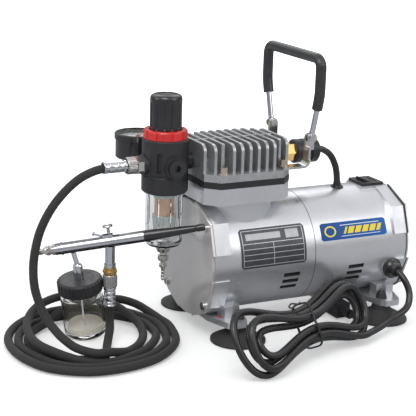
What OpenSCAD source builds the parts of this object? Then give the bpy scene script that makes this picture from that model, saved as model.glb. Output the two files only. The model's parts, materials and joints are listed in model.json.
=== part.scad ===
// Airbrush compressor with regulator, hose and siphon-feed airbrush.
// X runs along the motor shaft (front cover at -X), Z is up, and Z = 0 is the underside of the feet.

/* [Motor and crankcase] */
// Height of the motor shaft above the floor
axis_z = 65; // [64:0.5:66]
// Outer radius of the round motor body
barrel_r = 50.2; // [49.8:0.1:50.6]
// Wall thickness of the castings
wall = 3.6; // [3:0.2:4.2]
// Position of the front end of the crankcase along X
front_x = -99; // [-99.4:0.2:-98.6]
// Position of the rear end of the motor housing along X
rear_x = 98; // [97.6:0.2:98.4]

/* [Cylinder and head] */
// Position of the cylinder along X
cyl_x = -58; // [-58.4:0.2:-57.6]
// Bore radius of the cylinder sleeve
bore_r = 24; // [24:0.1:24.4]
// Crank throw, half of the stroke
throw_r = 4.4; // [4:0.1:4.4]
// Number of cooling fins
fin_count = 11; // [9:2:11]

/* [Regulator] */
// Distance of the regulator's vertical axis in front of the origin
reg_x = -123.5; // [-124:0.25:-123]
// Outer radius of the regulator body
reg_r = 20.2; // [19.8:0.1:20.4]
// Travel of the knob when it is pulled up to unlock
knob_pull = 4; // [2:0.5:4]

/* [Handle] */
// Height of the handle's pivots above the floor
pivot_z = 171.5; // [171:0.25:172]
// Height of the centre of the handle's top bar
bar_z = 241.5; // [238:0.5:242]

/* [Feet] */
// Half distance between the front and rear feet
foot_x = 74; // [73.5:0.25:74.5]
// Half distance between the left and right feet
foot_y = 51.4; // [51:0.2:52]
// Radius of a suction foot
foot_r = 24.3; // [22:0.1:25]

/* [Hose and cord] */
// Outer radius of the braided hose
hose_r = 3.7; // [3.4:0.1:3.7]
// Outer radius of the mains cord
cord_r = 3.1; // [2.6:0.1:3.2]

/* [Hidden] */
$fn = 48;

eps = 0.01;
run = 0.05;                       // radial clearance of a running fit
seam_x = 2;                       // joint between crankcase and motor housing
cover_t = 2;                      // thickness of the front and rear covers
gasket_t = 1.2;
inner_r = barrel_r - wall;
bulkhead_x = -16;                 // wall between crankcase and motor, holds the front bearing
screw_r = 2;
screw_yz = [[37.3, 35], [37.3, -35]];  // cover screws, from the motor axis

deck_z = 133;                     // top face of the cylinder casting
deck_t = 14.7;
plate_t = 5.7;
head_z = deck_z + plate_t;        // underside of the cylinder head
flange_z = head_z + 6.5;          // top of the head's flange
fin_top = 170;
fin_gap = 8;
fin_t = 2.6;
block_len = 83;
block_wid = 78;
block_cut = 11;
bolt_xy = [[-83, 32], [-24.2, 31]];
port_z = 151.5;                   // height of the head's and regulator's air ports

shaft_r = 5;
bearing_r = 13;
bearing_t = 8;
rear_bearing_x = 86;
pin_x0 = -64.5;                   // free end of the crank pin
disc_x = -45;                     // front face of the crank disc
piston_r = bore_r - throw_r - 0.3;
crown_z = 124;

lug_z = 14.6;                     // underside of the cast foot plates
lug_t = 5.2;
stem_r = 4;

reg_z0 = 126;                     // lower and upper ends of the regulator body
reg_z1 = 173;
knob_z = 178.2;
knob_top = 211;
knob_r = 13.9;
spindle_r = 3;
bowl_r = 16.2;
bowl_z = 77;
drain_r = 3;
gauge_pos = [-125.5, 54, 144.5];
gauge_r = 20.9;
gauge_h = 22.5;
outlet_x = reg_x - reg_r;

eye_y = 36.6;                     // centre plane of the handle's eyes
eye_t = 2.6;
rod_r = 2.5;
grip_r = 4.7;
arm_y = 46;
grip_z = 198;
bend_r = 8;

cord_start = [84.5, -57, 46.5];
tip = [-233.5, 15, 78.6];         // nozzle tip of the airbrush
tail = [-105.9, -45.2, 104];      // tail end of the airbrush handle
brush_len = norm(tail - tip);
brush_yaw = atan2(tail[1] - tip[1], tail[0] - tip[0]);
brush_pitch = -asin((tail[2] - tip[2]) / brush_len);
brush_r = 4.9;
valve_s = 62;                     // air valve, along the brush from the nozzle tip
siphon_s = 29;                    // siphon socket, along the brush from the nozzle tip
jar_foot = [-192.6, 7.2, 3.9];    // centre of the jar's base
jar_tilt = [5, -9.2, 0];          // the jar leans against its siphon tube
jar_r = 18.4;
jar_h = 40;
coil_centre = [-192, -8, 0];

// ---------- shared shapes ----------

// Cylinder along X from x0 to x1, centred on the given y and z
module rod_x(x0, x1, r, y = 0, z = 0) {
    translate([x0, y, z]) rotate([0, 90, 0]) cylinder(h = x1 - x0, r = r);
}

// Cylinder along Y from y0 to y1
module rod_y(y0, y1, r, x = 0, z = 0) {
    translate([x, y1, z]) rotate([90, 0, 0]) cylinder(h = y1 - y0, r = r);
}

// Cylinder along Z from z0 to z1
module rod_z(z0, z1, r, x = 0, y = 0) {
    translate([x, y, z0]) cylinder(h = z1 - z0, r = r);
}

// Copies its children to both sides of the XZ plane
module both_sides() {
    children();
    mirror([0, 1, 0]) children();
}

// Straight round bar between two points
module bar(p, q, r) {
    d = q - p;
    translate(p)
        rotate([0, acos(d[2] / norm(d)), atan2(d[1], d[0])])
            cylinder(h = norm(d), r = r);
}

// Places its children on the airbrush: X from nozzle to tail, Z up
module on_brush() {
    translate(tip) rotate([0, brush_pitch, brush_yaw]) children();
}

// Places its children on the jar's own axis
module on_jar() {
    translate(jar_foot) rotate(jar_tilt) children();
}

function unit(v) = v / norm(v);
function smooth(t) = let (u = min(max(t, 0), 1)) u * u * (3 - 2 * u);

// Points of a smooth curve through the control points
function catmull(a, b, c, d, t) =
    0.5 * (2 * b + (c - a) * t + (2 * a - 5 * b + 4 * c - d) * t * t
           + (3 * b - a - 3 * c + d) * t * t * t);
function spline(p, steps) = [
    for (i = [0:len(p) - 2], k = [0:steps - 1])
        catmull(p[max(i - 1, 0)], p[i], p[i + 1], p[min(i + 2, len(p) - 1)], k / steps),
    p[len(p) - 1]
];

function tangents(p) = [
    for (i = [0:len(p) - 1]) unit(p[min(i + 1, len(p) - 1)] - p[max(i - 1, 0)])
];
function square_to(s, t) = unit(s - t * (s * t));
function side_vectors(t) = [
    for (i = 0, s = square_to([0.31, 0.2, 0.93], t[0]); i < len(t);
         i = i + 1, s = i < len(t) ? square_to(s, t[i]) : s) s
];

// Round tube surface swept along a path, closed at both ends
module sweep(path, r, sides = 10) {
    t = tangents(path);
    s = side_vectors(t);
    n = len(path);
    rings = [
        for (i = [0:n - 1], k = [0:sides - 1])
            path[i] + r * (cos(360 * k / sides) * s[i] + sin(360 * k / sides) * cross(t[i], s[i]))
    ];
    skin = [
        for (i = [0:n - 2], k = [0:sides - 1])
            let (a = i * sides + k, b = i * sides + (k + 1) % sides)
                each [[a, b + sides, b], [a, a + sides, b + sides]]
    ];
    first = [[for (k = [0:sides - 1]) k]];
    last = [[for (k = [sides - 1:-1:0]) (n - 1) * sides + k]];
    polyhedron(points = rings, faces = concat(skin, first, last), convexity = 10);
}

// ---------- castings and covers ----------

// End outline of the castings: the round body with a corner lug at each screw
module end_outline(grow = 0) {
    lug = barrel_r + 1.6 + grow;
    circle(r = lug);
    for (m = [0, 1]) mirror([m, 0]) {
        polygon([[0, 0], [53 + grow, 14], [44.5 + grow, 40 + grow], [14, lug + 0.8]]);
        polygon([[0, 0], [14, -lug], [36, -42.5 - grow], [43 + grow, -36], [52, -10]]);
    }
}

module end_plate(x, t, grow = 0) {
    translate([x, 0, axis_z]) rotate([90, 0, 90]) linear_extrude(t) end_outline(grow);
}

// Holes for the cover screws, from x0 to x1
module screw_holes(x0, x1, r) {
    both_sides() for (p = screw_yz) rod_x(x0, x1, r, p[0], axis_z + p[1]);
}

// Three slanted cooling slots through both sides of a casting
module vents(x) {
    for (k = [0:2]) both_sides()
        translate([x - 0.4 * k, -barrel_r - 2, axis_z - 16.2 - 7.4 * k])
            rotate([25, 0, 0]) cube([16.2, 22, 3.8]);
}

// Cast foot plate that carries a pair of suction feet
module foot_plate(x_dir) {
    outline = [[62, 34], [69, 58], [72.5, 62.5], [85, 62.5], [88.5, 59], [96, 34]];
    difference() {
        union() {
            translate([0, 0, lug_z]) linear_extrude(lug_t)
                for (s = [-1, 1])
                    polygon([for (p = concat([[62, 0]], outline, [[96, 0]])) [x_dir * p[0], s * p[1]]]);
            for (s = [-1, 1])
                translate([x_dir * 79 - 8, s * 43 - 7, lug_z]) cube([16, 14, 16]);
        }
        for (s = [-1, 1]) rod_z(0, 60, stem_r + 0.3, x_dir * foot_x, s * foot_y);
        for (s = [-1, 1]) rod_z(lug_z + lug_t, 31, 5.6, x_dir * foot_x, s * foot_y);
        rod_x(-110, 110, barrel_r - 1, 0, axis_z);
    }
}

module octagon(len, wid, cut) {
    a = len / 2;
    b = wid / 2;
    polygon([[-a + cut, -b], [a - cut, -b], [a, -b + cut], [a, b - cut],
             [a - cut, b], [-a + cut, b], [-a, b - cut], [-a, -b + cut]]);
}

module bolt_holes(z0, z1, r) {
    both_sides() for (p = bolt_xy) rod_z(z0, z1, r, p[0], p[1]);
}

module crankcase() {
    sleeve_r = bore_r + 3;
    color([0.72, 0.73, 0.75]) difference() {
        union() {
            rod_x(front_x, seam_x, barrel_r, 0, axis_z);
            end_plate(front_x, 15);
            foot_plate(-1);
            rod_z(axis_z, deck_z - deck_t + 1, 35.5, cyl_x);
            translate([cyl_x, 0, deck_z - deck_t]) linear_extrude(deck_t)
                octagon(block_len, block_wid, block_cut);
        }
        rod_x(front_x - 1, bulkhead_x - bearing_t + 2, inner_r, 0, axis_z);
        rod_x(bulkhead_x + bearing_t + 2, seam_x + 1, inner_r, 0, axis_z);
        rod_x(bulkhead_x - 20, 10, 7, 0, axis_z);
        rod_x(bulkhead_x, bulkhead_x + bearing_t + 3, bearing_r, 0, axis_z);
        rod_z(axis_z + 20, deck_z + 1, sleeve_r, cyl_x);
        screw_holes(front_x - 1, front_x + 14, screw_r);
        bolt_holes(deck_z - 12, deck_z + 1, screw_r);
        vents(-28.6);
    }
}

module front_cover() {
    color([0.80, 0.78, 0.76]) difference() {
        end_plate(front_x - cover_t, cover_t);
        screw_holes(front_x - cover_t - 1, front_x + 1, screw_r + 0.2);
    }
}

module motor_housing() {
    color([0.74, 0.75, 0.77]) difference() {
        union() {
            rod_x(seam_x, rear_x, barrel_r, 0, axis_z);
            end_plate(rear_x - 13, 13, -2.5);
            foot_plate(1);
            translate([71, -13.5, axis_z + 40]) cube([25, 27, barrel_r - 40 + 0.3]);
            rod_y(-49, -38, 10, cord_start[0], cord_start[2]);
        }
        rod_x(seam_x - 1, rear_bearing_x, inner_r, 0, axis_z);
        rod_x(rear_bearing_x - 1, rear_bearing_x + bearing_t, bearing_r, 0, axis_z);
        rod_x(rear_bearing_x - 1, rear_x + 1, 7, 0, axis_z);
        screw_holes(rear_x - 12, rear_x + 1, screw_r);
        translate([75, -9.5, axis_z + 40]) cube([17, 19, 20]);
        rod_y(-60, -30, 6.2, cord_start[0], cord_start[2]);
        rod_y(-60, -49, 9.6, cord_start[0], cord_start[2]);
        rod_z(axis_z + 40, axis_z + 60, 3.4, 50, -3);
        vents(38.2);
    }
}

module rear_gasket() {
    color([0.10, 0.10, 0.11]) difference() {
        end_plate(rear_x, gasket_t, -1.6);
        screw_holes(rear_x - 1, rear_x + 3, screw_r + 0.2);
        rod_x(rear_x - 1, rear_x + 3, 14, 0, axis_z);
    }
}

module rear_cover() {
    color([0.74, 0.75, 0.77]) difference() {
        end_plate(rear_x + gasket_t, cover_t, -2.2);
        screw_holes(rear_x, rear_x + 5, screw_r + 0.2);
        for (k = [0:11])
            translate([0, 0, axis_z]) rotate([30 * k, 0, 0])
                translate([rear_x, 18, -1.6]) cube([5, 18, 3.2]);
    }
}

module cover_screws() {
    front = front_x - cover_t;
    back = rear_x + gasket_t + cover_t;
    color([0.78, 0.77, 0.74]) both_sides() for (p = screw_yz) {
        difference() {
            union() {
                rod_x(front - 2.2, front, 3.4, p[0], axis_z + p[1]);
                rod_x(front - 1, front_x + 12, screw_r - run, p[0], axis_z + p[1]);
            }
            translate([front - 3, p[0] - 0.45, axis_z + p[1] - 2.2]) cube([1.8, 0.9, 4.4]);
            translate([front - 3, p[0] - 2.2, axis_z + p[1] - 0.45]) cube([1.8, 4.4, 0.9]);
        }
        difference() {
            union() {
                rod_x(back, back + 2.2, 3.4, p[0], axis_z + p[1]);
                rod_x(rear_x - 10, back + 1, screw_r - run, p[0], axis_z + p[1]);
            }
            translate([back + 1.2, p[0] - 0.45, axis_z + p[1] - 2.2]) cube([1.8, 0.9, 4.4]);
            translate([back + 1.2, p[0] - 2.2, axis_z + p[1] - 0.45]) cube([1.8, 4.4, 0.9]);
        }
    }
}

// Thin plate bent round the motor body, from angle a0 up to a1 above the horizontal
module wrapped_plate(x0, x1, a0, a1) {
    t = 0.35;
    translate([x0, 0, axis_z]) rotate([0, 90, 0]) rotate([0, 0, 180 + 90 - a1])
        rotate_extrude(angle = a1 - a0) translate([barrel_r + 0.02, 0]) square([t, x1 - x0]);
}

module labels() {
    color([0.20, 0.20, 0.22]) wrapped_plate(-72, -7.5, -2, 38);
    color([0.10, 0.38, 0.72]) wrapped_plate(9, 77.5, 16.5, 34.5);
}

// ---------- cylinder and head ----------

module cylinder_sleeve() {
    color([0.60, 0.60, 0.62]) difference() {
        rod_z(axis_z + 31, deck_z, bore_r + 3, cyl_x);
        rod_z(axis_z + 30, deck_z + 1, bore_r, cyl_x);
    }
}

module valve_plate() {
    color([0.09, 0.09, 0.10]) difference() {
        translate([cyl_x, 0, deck_z]) linear_extrude(plate_t)
            octagon(block_len + 0.6, block_wid + 0.6, block_cut);
        bolt_holes(deck_z - 1, head_z + 1, screw_r + 0.2);
        for (s = [-1, 1]) rod_z(deck_z - 1, head_z + 1, 3, cyl_x + 10 * s);
        translate([cyl_x - 16, -5, deck_z - 1]) cube([20, 10, 1.4]);
        translate([cyl_x - 4, -5, head_z - 0.4]) cube([20, 10, 1.4]);
    }
    // intake reed below the plate, exhaust reed above it
    color([0.70, 0.72, 0.75]) {
        translate([cyl_x - 15, -4, deck_z]) cube([18, 8, 0.3]);
        translate([cyl_x - 3, -4, head_z - 0.35]) cube([18, 8, 0.3]);
    }
}

// Outline of one fin across the head
module fin_outline(half) {
    round_r = 7;
    translate([-half, flange_z - 1]) square([2 * half, fin_top - flange_z + 1 - round_r]);
    for (s = [-1, 1]) translate([s * (half - round_r), fin_top - round_r]) circle(r = round_r);
    translate([-half + round_r, fin_top - round_r - 1]) square([2 * (half - round_r), round_r + 1]);
}

module cylinder_head() {
    middle = (fin_count - 1) / 2;
    color([0.70, 0.71, 0.72]) difference() {
        union() {
            translate([cyl_x, 0, head_z]) linear_extrude(flange_z - head_z)
                octagon(block_len, block_wid, block_cut);
            translate([cyl_x - 38, -19, flange_z - 1]) cube([76, 38, 12]);
            for (k = [0:fin_count - 1]) {
                far = max(abs(k - middle) - 2, 0);
                translate([cyl_x + fin_gap * (k - middle) - fin_t / 2, 0, 0])
                    rotate([90, 0, 90]) linear_extrude(fin_t) fin_outline(34 - 0.9 * far * far);
            }
            translate([cyl_x - 38, -1.4, flange_z]) cube([76, 2.8, fin_top - flange_z - 0.6]);
            rod_x(cyl_x - 41.3, cyl_x - 30, 8.5, 0, port_z);
            rod_x(cyl_x + 30, cyl_x + 41.3, 8.5, 0, port_z);
        }
        // exhaust chamber and ports
        translate([cyl_x - 20, -14, head_z - 1]) cube([40, 28, 14]);
        rod_x(cyl_x - 50, cyl_x + 50, 4, 0, port_z);
        bolt_holes(head_z - 1, flange_z + 1, screw_r + 0.2);
        both_sides() for (p = bolt_xy) rod_z(flange_z, fin_top + 1, 5.6, p[0], p[1] + 1);
        both_sides() translate([-28.5, 27.2, flange_z]) cube([14, 13, 30]);
    }
}

module head_bolts() {
    color([0.80, 0.74, 0.62]) both_sides() for (p = bolt_xy) {
        seat = p[0] > cyl_x ? flange_z + 2 : flange_z;
        difference() {
            union() {
                rod_z(deck_z - 11, seat + 1, screw_r - run, p[0], p[1]);
                rod_z(seat, seat + 1, 4.6, p[0], p[1]);
                rod_z(seat + 1, seat + 6, 3.6, p[0], p[1]);
            }
            translate([p[0], p[1], seat + 3]) cylinder(h = 4, r = 2, $fn = 6);
        }
    }
}

// ---------- handle ----------

module handle_brackets() {
    strip = 2;
    bend = 7;
    post_x = -1;
    post_y = 32.4;
    color([0.82, 0.81, 0.80]) both_sides() {
        difference() {
            translate([-28, 27.5, flange_z]) cube([28 + post_x - bend, 11, strip]);
            rod_z(flange_z - 1, flange_z + 4, screw_r + 0.2, bolt_xy[1][0], bolt_xy[1][1]);
        }
        translate([post_x - bend, 38.5, flange_z + bend]) rotate([90, 90, 0])
            rotate_extrude(angle = 90) translate([bend - strip, 0]) square([strip, 11]);
        translate([post_x - strip, 28.5, flange_z + bend]) cube([strip, 9, 11]);
        translate([-4.4, post_y - 1.4, 160]) cube([8.8, 2.8, pivot_z - 160]);
        rod_y(post_y - 1.4, post_y + 1.4, 4.4, 0, pivot_z);
        rod_y(post_y + 1.4 - eps, eye_y + eye_t, 1.6 - run, 0, pivot_z);
        rod_y(eye_y + eye_t / 2 + 0.1, eye_y + eye_t / 2 + 1.8, 3.2, 0, pivot_z);
        rod_y(post_y - 3, post_y - 1.4 + eps, 3.2, 0, pivot_z);
    }
}

// Centre line of the handle, from one lower end over the top bar to the other
function handle_side(bottom_z) =
    let (low = [eye_y, pivot_z + 4], elbow = [arm_y, grip_z + 12],
         at = max((bottom_z - low[1]) / (elbow[1] - low[1]), 0),
         below = elbow + (low - elbow) * 0.14, above = elbow + [0, 5])
    [
        low + (elbow - low) * at,
        below,
        (below + 2 * elbow + above) / 4,
        above,
        for (a = [0:15:90])
            [arm_y - bend_r + bend_r * cos(a), bar_z - bend_r + bend_r * sin(a)]
    ];
function handle_path(bottom_z) =
    let (side = handle_side(bottom_z), n = len(side) - 1)
    [
        for (p = side) [0, p[0], p[1]],
        for (i = [n:-1:0]) [0, -side[i][0], side[i][1]]
    ];

module handle_rod() {
    color([0.84, 0.83, 0.82]) {
        sweep(handle_path(pivot_z), rod_r, 20);
        both_sides() difference() {
            union() {
                rod_y(eye_y - eye_t / 2, eye_y + eye_t / 2, 4.4, 0, pivot_z);
                translate([-2.2, eye_y - eye_t / 2, pivot_z]) cube([4.4, eye_t, 6]);
            }
            rod_y(30, 50, 1.6, 0, pivot_z);
        }
    }
}

module handle_grip() {
    color([0.10, 0.10, 0.11]) difference() {
        sweep(handle_path(grip_z), grip_r, 20);
        sweep(handle_path(grip_z - 2), rod_r + run, 20);
    }
}

// ---------- pressure switch, rocker switch and wiring ----------

module switch_fitting() {
    color([0.84, 0.66, 0.30]) union() {
        rod_x(cyl_x + 34, -8, 4 - run, 0, port_z);
        translate([-8, 0, port_z]) rotate([0, 90, 0]) rotate(30) cylinder(h = 10, r = 8.7, $fn = 6);
        rod_x(cyl_x + 41.5, -8 + eps, 6.4, 0, port_z);
    }
}

module pressure_switch() {
    color([0.08, 0.08, 0.09]) translate([2, 0, port_z]) rotate([0, 90, 0]) rotate_extrude()
        polygon([[0, 0], [9.4, 0], [10.8, 1.4], [10.8, 6], [10, 6.8], [10, 8], [10.8, 8.8],
                 [10.8, 14], [10, 14.8], [10, 16], [11.2, 16.6], [11.2, 23], [9.6, 24.6],
                 [5, 25], [4.2, 27], [0, 27]]);
}

module switch_cable() {
    path = spline([[28, 0, port_z], [34, 0, port_z - 0.6], [42, -1, port_z - 6],
                   [47.5, -2, port_z - 16], [49.6, -2.8, port_z - 27], [50, -3, 112]], 5);
    color([0.10, 0.10, 0.11]) {
        sweep([for (p = path) if (p[0] > 29.2) p], 3, 12);
        translate([50, -3, axis_z + barrel_r]) cylinder(h = 1.6, r1 = 6, r2 = 4.6);
        translate([50, -3, axis_z + barrel_r]) cylinder(h = 5, r1 = 3.9, r2 = 3.3);
    }
}

rocker_x = 83.5;
rocker_z = axis_z + barrel_r + 1.2;

module rocker_frame() {
    low = axis_z + barrel_r - 9;
    base = axis_z + barrel_r + 0.3;
    color([0.07, 0.07, 0.08]) difference() {
        union() {
            translate([rocker_x - 11, -12.5, base]) cube([22, 25, 2.6]);
            translate([rocker_x - 8.4, -9.4, low]) cube([16.8, 18.8, 10]);
        }
        translate([rocker_x - 7.2, -7, low + 2]) cube([14.4, 14, 14]);
    }
}

module rocker() {
    half = 6.4;
    color([0.13, 0.13, 0.14]) translate([rocker_x, 6.7, rocker_z]) rotate([90, 0, 0])
        linear_extrude(13.4)
            polygon([[-half, -3], [-half, 4.6], [-2.4, 2.6], [0, 2.1], [half, 1.4], [half, -3],
                     [0, -5]]);
}

module strain_relief() {
    color([0.09, 0.09, 0.10]) translate([cord_start[0], 0, cord_start[2]]) rotate([90, 0, 0])
        difference() {
            rotate_extrude()
                polygon([[0, 40], [6, 40], [6, 49], [9.4, 49], [9.4, 51.4], [8, 52.4],
                         [6.6, 54], [6, 58.5], [5, 59.4], [0, 59.4]]);
            translate([0, 0, 39]) cylinder(h = 22, r = cord_r + 0.1);
        }
}

// The spare mains cord is wound into flat loops, pinched at the middle by the tie.
// Turn number w counts inwards in the front layer, outwards in the middle one, then inwards
// again at the back.
tie_centre = [-38, -106.5, 27.1];
long_dir = unit([0.935, 0.345, 0.02]);
layer_dir = unit(cross(long_dir, [-0.1, 0.45, 0.88]));
wide_dir = cross(layer_dir, long_dir);
loop_turns = 2;
strand_gap = 2 * cord_r + 0.5;
layer_gap = 2 * cord_r + 0.6;

function turn_depth(w) =
    w < loop_turns ? w : w < 2 * loop_turns ? 2 * loop_turns - w : w - 2 * loop_turns;
function next_layer(w, at) = smooth((w - at + 0.12) / 0.24);
function loop_point(a) =
    let (w = a / 360, d = turn_depth(w), c = -cos(a), s = sin(a),
         first = next_layer(w, loop_turns), second = next_layer(w, 2 * loop_turns),
         inset = 3.6 * (first - second),
         far = 83 - 8.6 * d - inset,
         pinch = 1.8 + strand_gap * (loop_turns - d),
         lobe = (c > 0 ? 31 : 29.5) - 8.8 * d - inset,
         wide = s * ((lobe - 0.577 * pinch) / 0.385 * c * c + pinch),
         layer = layer_gap * (first + second - 1))
    tie_centre + far * c * long_dir + wide * wide_dir - layer * layer_dir;

plug_pos = [41, -40, 8];           // cord end of the plug's body

module power_cord() {
    first = 215;
    last = 360 * 2 * loop_turns + 150;
    lead_in = spline([[84.5, -45, 46.5], cord_start, [87, -67, 40], [88.5, -74, 29],
                      [82, -80, 18], [64, -84, 11.5], [46, -92, 8.5], loop_point(first),
                      loop_point(first + 12)], 6);
    lead_out = spline([loop_point(last - 12), loop_point(last), [34.5, -67, 24],
                       [39.8, -66, 16.5], [41.2, -61.3, 10.4],
                       plug_pos - [0, 13, 0], plug_pos - [0, 4, 0]], 6);
    color([0.07, 0.07, 0.08]) sweep(concat(
        [for (i = [0:len(lead_in) - 9]) lead_in[i]],
        [for (a = [first:5:last]) loop_point(a)],
        [for (i = [8:len(lead_out) - 1]) lead_out[i]]), cord_r, 8);
}

module cord_tie() {
    half = 1.8 + strand_gap * loop_turns + cord_r + 0.4;
    deep = layer_gap + cord_r + 0.4;
    color([0.05, 0.05, 0.06]) multmatrix(tie_frame()) difference() {
        translate([-1.3, -half - 1, -deep - 1]) cube([2.6, 2 * half + 2, 2 * deep + 2]);
        translate([-2, -half, -deep]) cube([4, 2 * half, 2 * deep]);
    }
}
function tie_frame() = [
    for (i = [0:2]) [long_dir[i], wide_dir[i], layer_dir[i], tie_centre[i]]
];

module mains_plug() {
    body_len = 34;
    color([0.07, 0.07, 0.08]) difference() {
        union() {
            translate(plug_pos - [7, 0, 7]) cube([14, body_len, 13]);
            rod_y(plug_pos[1] - 12, plug_pos[1] + eps, 4.4, plug_pos[0], plug_pos[2]);
        }
        rod_y(plug_pos[1] - 13, plug_pos[1] - 3, cord_r + 0.15, plug_pos[0], plug_pos[2]);
    }
    color([0.85, 0.72, 0.40]) for (s = [-1, 1])
        rod_y(plug_pos[1] + body_len, plug_pos[1] + body_len + 19, 2, plug_pos[0] + 4.5 * s, plug_pos[2]);
}

// ---------- motor and crank ----------

module motor_shaft() {
    color([0.75, 0.75, 0.78]) rod_x(disc_x + 1, rear_bearing_x + bearing_t + 1, shaft_r - run, 0, axis_z);
}

module rotor() {
    color([0.55, 0.55, 0.58]) difference() {
        union() {
            rod_x(12, 58, 21, 0, axis_z);
            rod_x(8, 62, 15, 0, axis_z);
        }
        rod_x(0, 70, shaft_r - run, 0, axis_z);
    }
}

module stator() {
    color([0.45, 0.45, 0.48]) difference() {
        rod_x(12, 58, inner_r - run, 0, axis_z);
        rod_x(11, 59, 21.5, 0, axis_z);
        for (k = [0:11]) translate([0, 0, axis_z]) rotate([30 * k, 0, 0])
            translate([11, 24, -3]) cube([48, 12, 6]);
    }
    color([0.65, 0.32, 0.12]) for (x = [5, 58.1]) difference() {
        rod_x(x, x + 6.8, 38, 0, axis_z);
        rod_x(x - 1, x + 8, 24, 0, axis_z);
    }
}

module cooling_fan() {
    color([0.15, 0.15, 0.16]) difference() {
        union() {
            rod_x(68, 82, 9, 0, axis_z);
            for (k = [0:6]) translate([75, 0, axis_z]) rotate([360 * k / 7, 0, 0])
                translate([0, 8, 0]) rotate([0, 32, 0]) translate([-7, 0, -1]) cube([14, 32, 1.8]);
        }
        rod_x(60, 90, shaft_r - run, 0, axis_z);
    }
}

module shaft_bearings() {
    color([0.70, 0.70, 0.72]) for (x = [bulkhead_x, rear_bearing_x]) difference() {
        rod_x(x, x + bearing_t, bearing_r, 0, axis_z);
        rod_x(x - 1, x + bearing_t + 1, shaft_r, 0, axis_z);
    }
}

module crank_disc() {
    color([0.50, 0.50, 0.53]) difference() {
        union() {
            rod_x(disc_x, disc_x + 10, 13, 0, axis_z);
            rod_x(pin_x0, disc_x + eps, shaft_r - run, 0, axis_z + throw_r);
            intersection() {
                rod_x(disc_x, disc_x + 10, 21, 0, axis_z);
                translate([disc_x, -21, axis_z - 22]) cube([10, 42, 19]);
            }
        }
        rod_x(disc_x + 1, disc_x + 12, shaft_r - run, 0, axis_z);
    }
}

module connecting_rod() {
    big_z = axis_z + throw_r;
    color([0.66, 0.67, 0.69]) difference() {
        union() {
            rod_x(cyl_x - 4.5, cyl_x + 4.5, 14.5, 0, big_z);
            translate([cyl_x - 3, -6, big_z + 8]) cube([6, 12, crown_z - big_z - 7]);
            translate([cyl_x, 0, crown_z - 8]) cylinder(h = 8, r1 = 6, r2 = 12);
            rod_z(crown_z, crown_z + 5.6, piston_r, cyl_x);
        }
        rod_x(cyl_x - 6, cyl_x + 6, 11, 0, big_z);
        rod_z(crown_z + 2, crown_z + 6, 1.5, cyl_x);
    }
    // retainer that clamps the cup seal
    color([0.66, 0.67, 0.69]) rod_z(crown_z + 6.8, crown_z + 8.2, 14, cyl_x);
}

module rod_bearing() {
    big_z = axis_z + throw_r;
    color([0.70, 0.70, 0.72]) difference() {
        rod_x(cyl_x - 4, cyl_x + 4, 11, 0, big_z);
        rod_x(cyl_x - 5, cyl_x + 5, shaft_r, 0, big_z);
    }
}

module piston_seal() {
    color([0.20, 0.17, 0.12]) rod_z(crown_z + 5.6, crown_z + 6.8, piston_r, cyl_x);
}

module capacitor() {
    color([0.85, 0.85, 0.82]) {
        rod_x(-94, -66, 9, 15, axis_z - 31);
        for (s = [-1, 1]) rod_x(-66 - eps, -62, 1, 15 + 3 * s, axis_z - 31);
    }
}

module suction_feet() {
    color([0.10, 0.10, 0.11]) both_sides() for (s = [-1, 1]) translate([s * foot_x, foot_y, 0])
        rotate_extrude()
            polygon([[foot_r - 2, 0], [foot_r, 0], [foot_r, 1.6], [16, 6], [9, 10], [8, lug_z],
                     [stem_r, lug_z], [stem_r, lug_z + lug_t], [5.2, lug_z + lug_t],
                     [3.6, lug_z + lug_t + 5], [2.2, 26.5], [0, 26.5], [0, 7], [10, 4.5]]);
}

// ---------- regulator, filter and gauge ----------

module air_fittings() {
    color([0.80, 0.79, 0.77]) {
        // nipple between the head and the regulator
        rod_x(reg_x + reg_r - 4, cyl_x - 36, 4 - run, 0, port_z);
        // outlet fitting
        translate([outlet_x - 7.5, 0, port_z - 0.5]) rotate([0, 90, 0])
            cylinder(h = 6, r = 8, $fn = 6);
        rod_x(outlet_x - 1.6, outlet_x + 4, 5, 0, port_z - 0.5);
        rod_x(outlet_x - 14, outlet_x - 7.4, 3.4, 0, port_z - 0.5);
        // seat of the drain valve, in the bottom of the bowl
        translate([reg_x, 0, 0]) rotate_extrude()
            polygon([[drain_r + run, bowl_z - 5.6], [5.2, bowl_z - 5.6], [6.9, bowl_z - 2],
                     [6.9, bowl_z], [drain_r + run, bowl_z]]);
    }
}

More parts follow.
